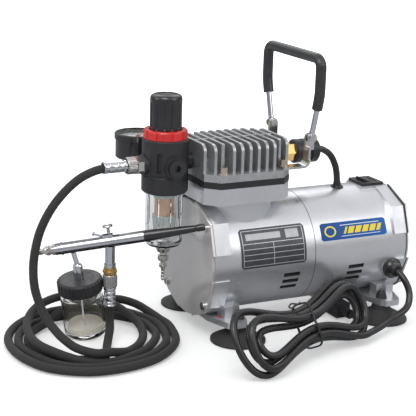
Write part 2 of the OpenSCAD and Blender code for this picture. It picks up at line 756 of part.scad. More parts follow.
module regulator_body() {
    color([0.09, 0.09, 0.10]) difference() {
        union() {
            translate([reg_x, 0, 0]) rotate_extrude()
                polygon([[0, reg_z0], [reg_r - 1.6, reg_z0], [reg_r, reg_z0 + 1.6], [reg_r, 141],
                         [reg_r - 0.6, 141.6], [reg_r - 0.6, 142.6], [reg_r, 143.2],
                         [reg_r, reg_z1 - 1], [reg_r - 1, reg_z1], [14.8, reg_z1],
                         [14.8, knob_z - 0.5], [0, knob_z - 0.5]]);
            rod_y(-reg_r - 3, 0, 9.5, reg_x, port_z - 0.5);
            rod_x(reg_x, cyl_x - 41.5, 7.5, 0, port_z);
            rod_x(outlet_x - 1.4, reg_x, 9, 0, port_z - 0.5);
            rod_y(0, reg_r + 2.5, 8, reg_x, port_z - 0.5);
        }
        // inlet, outlet, plug and gauge ports
        rod_x(reg_x + 8, -90, 4, 0, port_z);
        rod_x(outlet_x - 3, reg_x - 8, 5, 0, port_z - 0.5);
        rod_y(-30, -12, 5.5, reg_x, port_z - 0.5);
        rod_y(12, 30, 5, reg_x, port_z - 0.5);
        // spring chamber above, bowl socket below
        rod_z(158, knob_z - 4, 11, reg_x);
        rod_z(148, knob_z + 1, spindle_r + run, reg_x);
        rod_z(reg_z0 - 1, 135, bowl_r + 0.05, reg_x);
        rod_z(134, 146, 4, reg_x);
        // narrow recess between the outlet and the plug
        translate([reg_x, 0, 0]) rotate(-128) translate([reg_r - 2.4, -2.2, 146]) cube([5, 4.4, 17]);
    }
}

module port_plug() {
    color([0.12, 0.12, 0.13]) difference() {
        union() {
            rod_y(-reg_r - 3, -13, 5.5 - run, reg_x, port_z - 0.5);
            rod_y(-reg_r - 5.4, -reg_r - 3, 7.4, reg_x, port_z - 0.5);
        }
        translate([reg_x, -reg_r - 2, port_z - 0.5]) rotate([90, 0, 0])
            cylinder(h = 6, r = 3.4, $fn = 6);
    }
}

module regulator_knob() {
    flutes = 12;
    color([0.08, 0.08, 0.09]) difference() {
        translate([reg_x, 0, 0]) rotate_extrude()
            polygon([[0, knob_z], [knob_r - 0.6, knob_z], [knob_r, knob_z + 4],
                     [knob_r, knob_top - 3.4], [knob_r - 1, knob_top - 1.2],
                     [knob_r - 3, knob_top], [9.4, knob_top], [9.4, knob_top - 1],
                     [0, knob_top - 1]]);
        rod_z(knob_z - 1, 206, spindle_r + run, reg_x);
        for (k = [0:flutes - 1]) translate([reg_x, 0, 0]) rotate(360 * k / flutes)
            rod_z(knob_z + 3, 204, 2, knob_r + 1.2);
    }
}

module regulator_spindle() {
    color([0.76, 0.76, 0.74]) {
        rod_z(171, 201, spindle_r, reg_x);
        rod_z(169.5, 171.2, 9.6, reg_x);
    }
}

module regulator_spring() {
    turns = 4;
    helix = [
        for (a = [0:15:360 * turns])
            [reg_x + 8 * cos(a), 8 * sin(a), 159.2 + 9.2 * a / (360 * turns)]
    ];
    color([0.62, 0.62, 0.65]) sweep(helix, 0.8, 6);
}

module lock_ring() {
    notches = 10;
    color([0.86, 0.10, 0.09]) difference() {
        translate([reg_x, 0, 0]) rotate_extrude()
            polygon([[14.85, reg_z1], [19, reg_z1], [19, 179.6], [18, 181], [14.85, 181]]);
        for (k = [0:notches - 1]) translate([reg_x, 0, 0]) rotate(360 * k / notches + 9)
            translate([17.8, -2, 174.6]) cube([3, 4, 8]);
    }
}

module gauge_case() {
    stem_y = reg_r + 2.5;
    color([0.08, 0.08, 0.09]) difference() {
        union() {
            translate(gauge_pos) rotate_extrude()
                polygon([[0, 0], [gauge_r - 2, 0], [gauge_r - 1, 1], [gauge_r - 1, gauge_h - 6],
                         [gauge_r, gauge_h - 5.4], [gauge_r, gauge_h - 0.8], [gauge_r - 0.8, gauge_h],
                         [gauge_r - 2, gauge_h], [gauge_r - 2, gauge_h - 6], [0, gauge_h - 6]]);
            translate(gauge_pos) cylinder(h = gauge_h - 3.6, r = 1);
        }
    }
    color([0.80, 0.79, 0.77]) difference() {
        union() {
            rod_y(14, stem_y, 5 - run, reg_x, port_z - 0.5);
            rod_y(stem_y, gauge_pos[1] - gauge_r + 3, 6.5, reg_x, port_z - 0.5);
        }
        translate([gauge_pos[0], gauge_pos[1], 0]) cylinder(h = 200, r = gauge_r - 1);
    }
}

module gauge_dial() {
    color([0.93, 0.93, 0.91]) translate(gauge_pos + [0, 0, gauge_h - 6]) difference() {
        cylinder(h = 0.6, r = gauge_r - 2.1);
        translate([0, 0, -1]) cylinder(h = 3, r = 1.1);
    }
}

module gauge_lens() {
    color([0.85, 0.92, 0.95, 0.35]) translate(gauge_pos + [0, 0, gauge_h - 2])
        cylinder(h = 1.5, r = gauge_r - 2.05);
}

module gauge_needle() {
    rest_angle = 225;
    color([0.75, 0.08, 0.06]) translate(gauge_pos + [0, 0, gauge_h - 4.8]) difference() {
        union() {
            cylinder(h = 0.8, r = 2);
            rotate(rest_angle) linear_extrude(0.6)
                polygon([[-6, -0.9], [14.5, -0.2], [14.5, 0.2], [-6, 0.9]]);
        }
        translate([0, 0, -1]) cylinder(h = 3, r = 1 + run);
    }
}

module filter_bowl() {
    color([0.85, 0.90, 0.94, 0.4]) translate([reg_x, 0, 0]) rotate_extrude()
        polygon([[3.4, bowl_z], [10.5, bowl_z], [14.6, bowl_z + 1.6], [bowl_r, bowl_z + 5],
                 [bowl_r, 134], [bowl_r - 2, 134], [bowl_r - 2, bowl_z + 7],
                 [12.6, bowl_z + 3.6], [10, bowl_z + 2.4], [3.4, bowl_z + 2.4]]);
}

module filter_element() {
    color([0.80, 0.62, 0.44]) difference() {
        rod_z(105.6, 121, 8.4, reg_x);
        rod_z(105, 122, 5, reg_x);
    }
    color([0.88, 0.88, 0.86]) {
        difference() {
            translate([reg_x, 0, 90]) cylinder(h = 15.6, r1 = 9, r2 = 10.4);
            translate([reg_x, 0, 89]) cylinder(h = 14, r = 8);
        }
        rod_z(121, 125.4, 9.6, reg_x);
        rod_z(125.4 - eps, 145, 4 - run, reg_x);
    }
}

module drain_valve() {
    color([0.80, 0.78, 0.74]) translate([reg_x, 0, 0]) rotate_extrude()
        polygon([[0, 45], [1.1, 45], [1.9, 47], [1.3, 48], [1.9, 50], [1.3, 51], [1.9, 53],
                 [1.9, 57], [3.6, 57.4], [3.6, 60], [2.4, 60.6], [2.4, 63], [4.8, 63.6],
                 [4.8, 68], [drain_r, 68.6], [drain_r, bowl_z + 2.6], [6.2, bowl_z + 2.6],
                 [6.2, bowl_z + 4.6], [3, bowl_z + 5.2], [0, bowl_z + 5.2]]);
}

// ---------- hose ----------

hose_x0 = -166.5;                 // where the hose leaves the regulator's nut

module hose_ends() {
    z = port_z - 0.5;
    color([0.55, 0.54, 0.53]) {
        difference() {
            rod_x(-160, outlet_x - 7.5 - eps, 7.4, 0, z);
            rod_x(outlet_x - 14.05, outlet_x - 7, 3.45, 0, z);
        }
        translate([-160, 0, z]) rotate([0, -90, 0]) difference() {
            cylinder(h = 21, r = 5.4);
            translate([0, 0, 1]) cylinder(h = 21, r = hose_r + 0.25);
        }
    }
    color([0.55, 0.54, 0.53]) on_brush_drop() {
        difference() {
            translate([0, 0, -40.6]) cylinder(h = 11.4, r = 6.4);
            translate([0, 0, -31]) cylinder(h = 3, r = 3.3);
        }
        difference() {
            translate([0, 0, -57.6]) cylinder(h = 17, r = 5);
            translate([0, 0, -59]) cylinder(h = 16, r = hose_r + run);
        }
    }
}

// The air valve's axis hangs straight down from the brush
valve_top = tip + valve_s * unit(tail - tip);
module on_brush_drop() {
    translate(valve_top) children();
}

// Lay of the coil: angle, radius and height of the hose's centre line around coil_centre.
// It drops in from above, climbs over its own turns and ends at the foot of the airbrush.
hose_lay = [
    [194.5, 48, 30.7], [206, 48, 24.5], [219, 50.5, 19.5], [234, 55, 14.8], [250, 58.5, 12.3],
    [262, 55, 11.2], [275, 49.6, 7.6], [290, 45, 4.4], [311, 42.7, 4.1], [335, 42.4, 4.1],
    [352, 44.2, 5], [368, 46.8, 6.5], [382, 49, 9], [396, 51.5, 12], [408, 54, 15.5], [422, 57, 18.8],
    [438, 59.5, 21], [458, 61, 22.2], [478, 59.5, 21], [494, 58.5, 18.6], [510, 57, 16.2],
    [528, 56.6, 14.2], [544, 57.5, 12.9], [560, 59.5, 12.2], [574, 61, 11.4], [588, 61.6, 9],
    [602, 61.8, 6.2], [616, 61, 4.2], [630, 58, 4.1], [644, 55, 4.1], [666, 53.2, 4.1], [698, 54, 4.1],
    [720, 55.2, 4.1], [745, 57.2, 4.1], [780, 58, 4.1], [815, 58.3, 4.1], [840, 60.8, 4.1],
    [865, 63.8, 4.1], [895, 64.8, 4.1], [920, 65, 4.1], [944, 69.4, 4.1], [968, 69.9, 4.1],
    [994, 65.9, 4.1], [1020, 64, 4.1], [1050, 63.2, 4.1], [1080, 64, 4.1], [1100, 66, 4.1],
    [1125, 70, 4.1], [1150, 73.5, 4.1], [1172, 75.4, 4.1], [1195, 74, 4.1], [1218, 72.7, 4.1],
    [1240, 72.6, 4.1], [1262, 72.9, 4.1], [1284, 75.5, 4.1], [1304, 78.5, 4.1], [1328, 78, 4.1],
    [1354, 74, 4.1], [1380, 72, 4.1], [1410, 71.2, 4.1], [1440, 72.4, 4.1], [1455, 74.5, 4.1],
    [1468, 77.7, 6], [1480, 79.5, 10], [1492, 78.5, 12.4], [1504, 73, 12.4], [1516, 66, 12.4],
    [1528, 58.5, 12.4], [1540, 52.8, 12.2], [1552, 50.3, 9.3], [1564, 51, 5.8], [1576, 53.3, 4.1],
    [1590, 55, 4.1], [1605, 55.9, 4.1], [1620, 56.3, 4.1], [1640, 55.8, 4.1], [1664, 55, 4.1],
    [1680, 53.2, 4.1]
];
function lay_point(k) = coil_centre + [k[1] * cos(k[0]), k[1] * sin(k[0]), k[2]];

module air_hose() {
    foot = valve_top + [0, 0, -56];
    fall = [[hose_x0, 0, port_z - 0.5], [-176, 0, port_z - 0.5], [-190, 0, 148.5],
            [-203.5, 0, 142.5], [-216.5, 0, 132], [-227.5, 0, 119], [-236, 0, 103.5],
            [-241, -1, 88.5], [-244, -3, 72.5], [-244.5, -7, 56], [-242, -12.5, 42]];
    rise = [[-209, -57.5, 4.1], [-200.5, -54.5, 4.1], [-195, -46, 4.1], [-190.5, -35, 4.6],
            [-185, -24.5, 7], [-179.8, -15.5, 12.5], [-178.3, -11.4, 20], foot - [0, 0, 4],
            foot + [0, 0, 6], foot + [0, 0, 12]];
    color([0.13, 0.13, 0.13])
        sweep(spline(concat(fall, [for (k = hose_lay) lay_point(k)], rise), 5), hose_r, 10);
}

// ---------- airbrush ----------

module airbrush_body() {
    color([0.82, 0.83, 0.86]) difference() {
        union() {
            on_brush() {
                rod_x(15, 91, brush_r, 0, 0);
                rod_x(20, 21.6, brush_r + 0.5, 0, 0);
                // housing around the trigger's foot, with a small stop screw in front
                translate([valve_s - 6, -2.6, 3]) cube([9, 5.2, 3.4]);
                bar([valve_s - 5.5, 0, 5.2], [valve_s - 12, 0, 8.2], 0.8);
                bar([valve_s - 12, 0, 8.2], [valve_s - 13.8, 0, 9.03], 1.5);
            }
            // air valve casing
            on_brush_drop() {
                translate([0, 0, -20]) cylinder(h = 16, r = 4.3);
                translate([0, 0, -22.6]) cylinder(h = 2.8, r = 5);
            }
        }
        on_brush() {
            rod_x(14, 92, 1.3, 0, 0);
            rod_x(valve_s - 4, 92, 3, 0, 0);
            translate([valve_s - 4, -1.6, 0]) cube([12.5, 3.2, 12]);
            translate([valve_s, 0, -7]) cylinder(h = 6, r = 1.7);
        }
        on_brush_drop() translate([0, 0, -23]) cylinder(h = 14, r = 2);
    }
}

module airbrush_nozzle() {
    color([0.78, 0.74, 0.68]) on_brush() difference() {
        rotate([0, 90, 0]) rotate_extrude()
            polygon([[0.8, 0], [2.4, 0], [2.8, 2], [2.4, 5], [3.2, 6], [4.2, 8], [4.2, 10],
                     [3.6, 10.6], [3.6, 12], [4.6, 12.6], [4.6, 15], [0.8, 15]]);
        for (k = [0:5]) rotate([60 * k, 0, 0]) translate([-1, 2.2, -0.5]) cube([4, 2, 1]);
    }
}

module airbrush_handle() {
    color([0.06, 0.06, 0.07]) on_brush() difference() {
        rotate([0, 90, 0]) rotate_extrude()
            polygon([[0, 91], [brush_r, 91], [brush_r, 97], [2.9, brush_len - 9], [2.6, brush_len - 8],
                     [3.1, brush_len - 7], [3.1, brush_len - 1], [2.4, brush_len], [0, brush_len]]);
        rod_x(90, 122, 3);
    }
}

module valve_stem() {
    press = 1.8;
    color([0.80, 0.80, 0.82]) on_brush() translate([valve_s, 0, 0]) difference() {
        translate([0, 0, -2.9]) cylinder(h = 10.5, r = 1.4);
        translate([-2, -0.8, -0.9]) cube([4, 1.6, 1.9 + press]);
    }
}

module trigger() {
    color([0.82, 0.80, 0.76]) on_brush() {
        translate([valve_s, 0, 0]) rotate_extrude()
            polygon([[0, 8.2], [1.3, 8.2], [1.5, 9.4], [1.2, 11], [1.6, 12.4], [4.2, 13], [4.4, 13.8],
                     [3.8, 14.6], [0, 14.2]]);
    }
}

module needle() {
    color([0.80, 0.80, 0.82]) on_brush() {
        translate([2, 0, 0]) rotate([0, 90, 0]) cylinder(h = 14, r1 = 0.2, r2 = 0.6);
        rod_x(16 - eps, 108, 0.6);
        rod_x(70, 84, 2.7);
        rod_x(96, 106, 2.6);
    }
}

module hose_adapter() {
    color([0.84, 0.62, 0.26]) on_brush_drop() difference() {
        union() {
            translate([0, 0, -29]) cylinder(h = 6.4, r = 5.6);
            translate([0, 0, -26.8]) cylinder(h = 2.6, r = 6.3);
            translate([0, 0, -31]) cylinder(h = 8.4, r = 3.2);
        }
        translate([0, 0, -32]) cylinder(h = 12, r = 1.8);
    }
}

// The siphon tube drops from the brush and runs down through the jar's cap
cap_z = jar_h + 12.4;
siphon_top = tip + siphon_s * unit(tail - tip);
module siphon_tube() {
    neck_top = cap_z + 12;
    color([0.82, 0.81, 0.80]) difference() {
        union() {
            on_jar() {
                translate([0, 0, cap_z]) cylinder(h = 10.5, r = 4.2);
                translate([0, 0, cap_z + 10.5]) sphere(r = 4.2);
                translate([0, 0, 7]) cylinder(h = cap_z - 6, r = 1.5);
            }
            bar(siphon_foot(), siphon_top + 5.1 * unit(siphon_foot() - siphon_top), 2.1);
        }
        on_brush() rod_x(10, 60, brush_r, 0, 0);
    }
}
// Point on the jar's axis where the tube meets the cap's elbow
function siphon_foot() =
    jar_foot + (cap_z + 10.5) * [sin(jar_tilt[1]) * cos(jar_tilt[0]), -sin(jar_tilt[0]),
                                 cos(jar_tilt[1]) * cos(jar_tilt[0])];

module jar_cap() {
    ribs = 28;
    color([0.08, 0.08, 0.09]) on_jar() difference() {
        union() {
            translate([0, 0, jar_h + 0.4]) cylinder(h = 12, r = jar_r + 0.4);
            for (k = [0:ribs - 1]) rotate(360 * k / ribs)
                translate([jar_r + 0.3, -0.7, jar_h + 1.6]) cube([0.7, 1.4, 9.4]);
        }
        translate([0, 0, jar_h - 1]) cylinder(h = 11.2, r = jar_r - 1.6);
        translate([0, 0, jar_h]) cylinder(h = 20, r = 1.5 + run);
    }
}

module jar() {
    color([0.86, 0.92, 0.94, 0.35]) on_jar() rotate_extrude()
        polygon([[0, 0.8], [6, 0], [jar_r - 2.6, 0], [jar_r - 0.8, 0.8], [jar_r, 2.6],
                 [jar_r, jar_h - 5], [jar_r - 1, jar_h - 2], [jar_r - 2.2, jar_h],
                 [jar_r - 2.2, jar_h + 9], [jar_r - 4, jar_h + 9], [jar_r - 4, jar_h - 1],
                 [jar_r - 2.2, jar_h - 5], [jar_r - 2.2, 5], [jar_r - 4, 3.4], [0, 3.8]]);
}

crankcase();
front_cover();
cover_screws();
motor_housing();
rear_gasket();
rear_cover();
labels();
cylinder_sleeve();
valve_plate();
cylinder_head();
head_bolts();
handle_brackets();
handle_rod();
handle_grip();
switch_fitting();
pressure_switch();
switch_cable();
rocker_frame();
rocker();
motor_shaft();
rotor();
stator();
cooling_fan();
shaft_bearings();
crank_disc();
connecting_rod();
rod_bearing();
piston_seal();
capacitor();
strain_relief();
power_cord();
cord_tie();
mains_plug();
suction_feet();
air_fittings();
regulator_body();
regulator_knob();
regulator_spindle();
regulator_spring();
lock_ring();
gauge_case();
gauge_dial();
gauge_lens();
gauge_needle();
filter_bowl();
filter_element();
drain_valve();
port_plug();
hose_ends();
air_hose();
airbrush_body();
airbrush_nozzle();
airbrush_handle();
valve_stem();
trigger();
needle();
hose_adapter();
siphon_tube();
jar_cap();
jar();
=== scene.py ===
"""Airbrush compressor: the looks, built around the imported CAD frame.

Helper calls take millimetres; Blender objects are in metres, in the CAD frame.
"""
import json
import math

import bmesh
import bpy
import numpy as np
from mathutils import Euler, Matrix, Vector

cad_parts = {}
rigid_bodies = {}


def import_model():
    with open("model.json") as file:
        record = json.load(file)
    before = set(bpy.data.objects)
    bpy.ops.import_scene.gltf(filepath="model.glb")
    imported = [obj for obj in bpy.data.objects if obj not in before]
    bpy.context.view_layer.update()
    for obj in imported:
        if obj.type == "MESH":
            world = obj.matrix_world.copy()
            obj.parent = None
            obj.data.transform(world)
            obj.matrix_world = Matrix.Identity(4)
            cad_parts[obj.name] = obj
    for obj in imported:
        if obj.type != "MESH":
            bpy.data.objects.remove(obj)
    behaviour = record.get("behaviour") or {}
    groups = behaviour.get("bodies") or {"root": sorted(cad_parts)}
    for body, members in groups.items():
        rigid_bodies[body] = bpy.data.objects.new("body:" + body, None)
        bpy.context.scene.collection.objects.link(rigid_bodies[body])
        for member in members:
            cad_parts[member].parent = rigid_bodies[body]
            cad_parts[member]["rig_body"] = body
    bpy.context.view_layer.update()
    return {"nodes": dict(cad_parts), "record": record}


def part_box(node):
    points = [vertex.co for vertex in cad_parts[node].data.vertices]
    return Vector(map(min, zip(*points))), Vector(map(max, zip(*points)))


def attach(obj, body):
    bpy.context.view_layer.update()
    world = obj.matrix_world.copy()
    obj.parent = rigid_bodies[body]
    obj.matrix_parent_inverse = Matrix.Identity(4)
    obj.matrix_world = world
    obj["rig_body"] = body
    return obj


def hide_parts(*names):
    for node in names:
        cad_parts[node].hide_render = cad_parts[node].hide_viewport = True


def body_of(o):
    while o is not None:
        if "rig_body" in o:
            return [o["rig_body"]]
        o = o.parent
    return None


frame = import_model()
NODES = frame["nodes"]
MM = 0.001


# ------------------------------------------------- places shared with the CAD, in mm

def joint_at(name):
    """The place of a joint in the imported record."""
    for joint in frame["record"]["behaviour"]["joints"]:
        if joint["name"] == name:
            return [c / MM for c in joint["pos_m"]]
    raise ValueError(name)


def low_corner(node):
    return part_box(node)[0] / MM


def high_corner(node):
    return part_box(node)[1] / MM


AXIS_Z = joint_at("shaft_spin")[2]
BARREL_R = 50.2
CASTING_JOINT_X = low_corner("motor_housing").x
GASKET_X = (-99.2, -98.3)
GASKET_TOP = 116.5
LACQUER_AT = (-86.5, -42.5, 18)
LACQUER_R = 3.2
MOTOR_SPACE_X = (-97.5, 97)
CYLINDER_FOOT_Z = 114
LAMINATIONS_X = (11.9, 58.05)
PLUG_FACE_Y = -5.5
REG = joint_at("pressure_adjust")[:2]
PORT_Z = (low_corner("port_plug").z + high_corner("port_plug").z) / 2
OUTLET_X = -143.7
GAUGE = (*joint_at("gauge_pointer_turn")[:2], low_corner("gauge_case").z)
TIP = Vector((-233.5, 15, 78.6))
TAIL = Vector((-105.9, -45.2, 104))
BRUSH = (TAIL - TIP).normalized()
VALVE = TIP + BRUSH * 62  # air valve, along the airbrush from its tip
DROP = Matrix.Translation(VALVE) @ Matrix.Rotation(math.pi, 4, "X")
JAR_FOOT = Vector((-192.6, 7.2, 3.9))
JAR_LEAN = Euler((math.radians(5), math.radians(-9.2), 0))
ON_JAR = Matrix.Translation(JAR_FOOT) @ JAR_LEAN.to_matrix().to_4x4()
COIL_CENTRE = (-192, -8)


# ---------------------------------------------------------------- node helpers

class Shader:
    """A material under construction: short calls for the nodes that this scene uses."""

    def __init__(self, name):
        self.material = bpy.data.materials.new(name)
        self.material.use_nodes = True
        self.tree = self.material.node_tree
        self.bsdf = self.tree.nodes["Principled BSDF"]
        self.coord = self.tree.nodes.new("ShaderNodeTexCoord")

    def node(self, kind, inputs=None, **settings):
        made = self.tree.nodes.new(kind)
        for key, value in settings.items():
            setattr(made, key, value)
        for key, value in (inputs or {}).items():
            self.plug(made.inputs[key], value)
        return made

    def plug(self, socket, value):
        if isinstance(value, bpy.types.NodeSocket):
            self.tree.links.new(value, socket)
        elif hasattr(value, "outputs"):
            self.tree.links.new(value.outputs[0], socket)
        else:
            socket.default_value = value

    def set(self, **values):
        for key, value in values.items():
            self.plug(self.bsdf.inputs[key.replace("_", " ")], value)

    def place(self, scale=(1, 1, 1), rotation=(0, 0, 0), space="Object"):
        return self.node("ShaderNodeMapping",
                         {0: self.coord.outputs[space], "Scale": scale, "Rotation": rotation})

    def noise(self, scale, detail=3.0, stretch=(1, 1, 1), rough=0.55):
        made = self.node("ShaderNodeTexNoise", {"Vector": self.place(stretch), "Scale": scale,
                                                "Detail": detail, "Roughness": rough})
        return made.outputs["Fac"]

    def ramp(self, value, low, high, start=0.3, end=0.7):
        made = self.node("ShaderNodeMapRange", {0: value, 1: start, 2: end, 3: low, 4: high})
        return made.outputs[0]

    def mix(self, factor, a, b):
        made = self.node("ShaderNodeMix", data_type="RGBA")
        self.plug(made.inputs[0], factor)
        self.plug(made.inputs[6], colour4(a))
        self.plug(made.inputs[7], colour4(b))
        return made.outputs[2]

    def math(self, operation, a, b=0.0, clamp=False):
        made = self.node("ShaderNodeMath", {0: a, 1: b}, operation=operation, use_clamp=clamp)
        return made.outputs[0]

    def bump(self, height, distance_mm, strength=1.0, under=None):
        made = self.node("ShaderNodeBump", {"Height": height, "Strength": strength,
                                            "Distance": distance_mm * MM})
        if under is not None:
            self.plug(made.inputs["Normal"], under)
        return made.outputs[0]

    def edge(self, radius_mm):
        """0 on flats, 1 on edges sharper than the radius."""
        soft = self.node("ShaderNodeBevel", {"Radius": radius_mm * MM}, samples=4)
        real = self.node("ShaderNodeNewGeometry").outputs["Normal"]
        dot = self.node("ShaderNodeVectorMath", {0: soft, 1: real}, operation="DOT_PRODUCT")
        return self.ramp(dot.outputs["Value"], 1.0, 0.0, 0.80, 0.99)


def colour4(value):
    if isinstance(value, (tuple, list)) and len(value) == 3:
        return (*value, 1.0)
    return value


def tint(colour, factor):
    return tuple(min(c * factor, 1.0) for c in colour)


# ------------------------------------------------------------------- materials

def band(s, value, low, high):
    """1 where value lies between low and high, else 0."""
    return s.math("MULTIPLY", s.math("GREATER_THAN", value, low), s.math("LESS_THAN", value, high))


def gasket_line(s):
    """1 on the edge of the gasket that shows behind the front cover."""
    where = s.node("ShaderNodeSeparateXYZ", {0: s.coord.outputs["Object"]})
    x, z = where.outputs[0], where.outputs[2]
    return s.math("MULTIPLY", band(s, x, GASKET_X[0] * MM, GASKET_X[1] * MM),
                  s.math("LESS_THAN", z, GASKET_TOP * MM))


def lacquer_dab(s):
    """1 on the ragged dab of lacquer on one foot."""
    away = s.node("ShaderNodeVectorMath", {0: s.coord.outputs["Object"]}, operation="SUBTRACT")
    away.inputs[1].default_value = [c * MM for c in LACQUER_AT]
    reach = s.node("ShaderNodeVectorMath", {0: away.outputs[0]}, operation="LENGTH")
    ragged = s.math("ADD", reach.outputs["Value"], s.ramp(s.noise(420, 2), -1.4 * MM, 1.4 * MM))
    return s.math("LESS_THAN", ragged, LACQUER_R * MM)


def painted_casting(name, base, wear=0.10):
    """Silver paint over a sand casting: fine flake, orange peel, small pits and brighter worn
    edges, with a brown gasket line behind the front cover and a red dab on one foot."""
    s = Shader(name)
    cloud = s.noise(38, 4)
    flake = s.noise(5200, 2)
    colour = s.mix(s.ramp(cloud, 0, 1), tint(base, 0.94), tint(base, 1.05))
    colour = s.mix(s.ramp(flake, 0.0, 0.45, 0.4, 0.75), colour, tint(base, 1.3))
    colour = s.mix(s.ramp(s.noise(1500, 3), 0.25, 0.0, 0.28, 0.46), colour, tint(base, 0.75))
    colour = s.mix(s.math("MULTIPLY", s.edge(0.8), wear), colour, (0.95, 0.95, 0.95))
    gasket, dab = gasket_line(s), lacquer_dab(s)
    colour = s.mix(gasket, colour, (0.30, 0.21, 0.14))
    colour = s.mix(dab, colour, (0.52, 0.03, 0.03))
    silver = s.math("SUBTRACT", 1.0, s.math("MAXIMUM", gasket, dab))
    peel = s.bump(s.noise(950, 3), 0.05, 0.5)
    s.set(Base_Color=colour, Metallic=s.math("MULTIPLY", silver, 0.86), Normal=peel,
          Roughness=s.ramp(s.noise(120, 3), 0.27, 0.38))
    s.set(Coat_Weight=0.15, Coat_Roughness=0.25)
    return s.material


def cast_metal(name, base, rough=0.42, grain=0.08, metallic=0.9, worn=0.35):
    """Bare die-cast or sintered metal with a grainy skin, and edges lightened partly as wear and
    partly as a painted highlight.
    """
    s = Shader(name)
    colour = s.mix(s.ramp(s.noise(160, 5), 0, 1), tint(base, 0.86), tint(base, 1.08))
    # edges lightened in the base colour: partly wear, partly a painted highlight
    colour = s.mix(s.math("MULTIPLY", s.edge(0.5), worn), colour, tint(base, 1.5))
    skin = s.bump(s.noise(1500, 4), grain, 0.6)
    s.set(Base_Color=colour, Metallic=metallic, Normal=skin,
          Roughness=s.ramp(s.noise(300, 3), rough - 0.08, rough + 0.10))
    return s.material


def bright_metal(name, base, rough=0.10, streak=(1, 1, 1), stain=0.94, metallic=1.0, painted_dark_bands=0.0):
    """Plated, polished or turned metal: faint stains, fine tool streaks, and painted reflections:
    darker bands painted into the base colour above and below, where faces point steeply up or down."""
    s = Shader(name)
    colour = s.mix(s.ramp(s.noise(70, 4), 0, 1), tint(base, stain), base)
    # painted reflection: the base colour darkens where the normal points steeply up or down
    if painted_dark_bands:
        normal = s.node("ShaderNodeNewGeometry").outputs["Normal"]
        up = s.node("ShaderNodeSeparateXYZ", {0: normal}).outputs[2]
        painted_band = s.math("MAXIMUM", s.ramp(up, 0, 1, 0.78, 0.92), s.ramp(up, 1, 0, -0.45, -0.10))
        colour = s.mix(s.math("MULTIPLY", painted_band, painted_dark_bands), colour, tint(base, 0.16))
    lines = s.noise(700, 3, stretch=streak)
    s.set(Base_Color=colour, Metallic=metallic, Normal=s.bump(lines, 0.012, 0.35),
          Roughness=s.ramp(lines, rough * 0.7, rough * 1.5))
    return s.material


def moulded(name, base, rough=0.4, grain=0.02, scale=1400, dust=0.05, coat=0.0):
    """Moulded plastic or rubber: fine texture, uneven sheen, a little dust and paler edges."""
    s = Shader(name)
    colour = s.mix(s.ramp(s.noise(60, 4), 0, 1), tint(base, 0.8), tint(base, 1.25))
    pale = tuple(c + 0.16 for c in base)
    colour = s.mix(s.math("MULTIPLY", s.edge(0.5), dust * 2), colour, pale)
    colour = s.mix(s.ramp(s.noise(900, 5), 0, dust, 0.5, 0.8), colour, pale)
    s.set(Base_Color=colour, Normal=s.bump(s.noise(scale, 3), grain, 0.5), Coat_Weight=coat,
          Coat_Roughness=0.08, Roughness=s.ramp(s.noise(200, 3), rough - 0.06, rough + 0.08))
    return s.material


def clear(name, base, rough=0.02, ior=1.46, ripple=0.02):
    """Clear glass or plastic with faint ripples from moulding. It casts only a pale shadow."""
    s = Shader(name)
    waves = s.bump(s.noise(90, 2), ripple, 0.4)
    s.set(Base_Color=s.mix(s.ramp(s.noise(50, 2), 0, 1), base, tint(base, 0.985)), Normal=waves,
          IOR=ior, Transmission_Weight=1.0, Roughness=s.ramp(s.noise(300, 2), rough, rough + 0.03))
    rays = s.tree.nodes.new("ShaderNodeLightPath")
    soft_rays = s.math("MAXIMUM", rays.outputs["Is Shadow Ray"], rays.outputs["Is Diffuse Ray"])
    see_through = s.node("ShaderNodeBsdfTransparent", {0: (*tint(base, 0.96), 1)})
    both = s.node("ShaderNodeMixShader", {0: soft_rays, 1: s.bsdf.outputs[0], 2: see_through})
    s.tree.links.new(both.outputs[0], s.tree.nodes["Material Output"].inputs[0])
    return s.material


def braided(name):
    """Woven sleeve: two families of strands that cross over the hose, in UV turns and lengths."""
    s = Shader(name)
    uv = s.node("ShaderNodeSeparateXYZ", {0: s.coord.outputs["UV"]})
    strands = []
    for sign in (-1, 1):
        phase = s.math("ADD", uv.outputs[0], s.math("MULTIPLY", uv.outputs[1], sign))
        strands.append(s.math("SINE", s.math("MULTIPLY", phase, 2 * math.pi)))
    over = s.math("MAXIMUM", strands[0], strands[1])
    fuzz = s.noise(3800, 4)
    height = s.math("ADD", over, s.math("MULTIPLY", fuzz, 0.5))
    weave = s.ramp(over, 0, 1, -0.6, 1.0)
    base = s.mix(weave, (0.006, 0.006, 0.006), (0.026, 0.026, 0.024))
    base = s.mix(s.ramp(fuzz, 0, 0.35, 0.45, 0.8), base, (0.055, 0.054, 0.050))
    base = s.mix(s.ramp(s.noise(25, 3), 0, 0.4), base, (0.020, 0.021, 0.018))
    s.set(Base_Color=base, Roughness=s.ramp(fuzz, 0.55, 0.8), Sheen_Weight=0.08,
          Sheen_Roughness=0.5, Normal=s.bump(height, 0.16, 0.7))
    return s.material


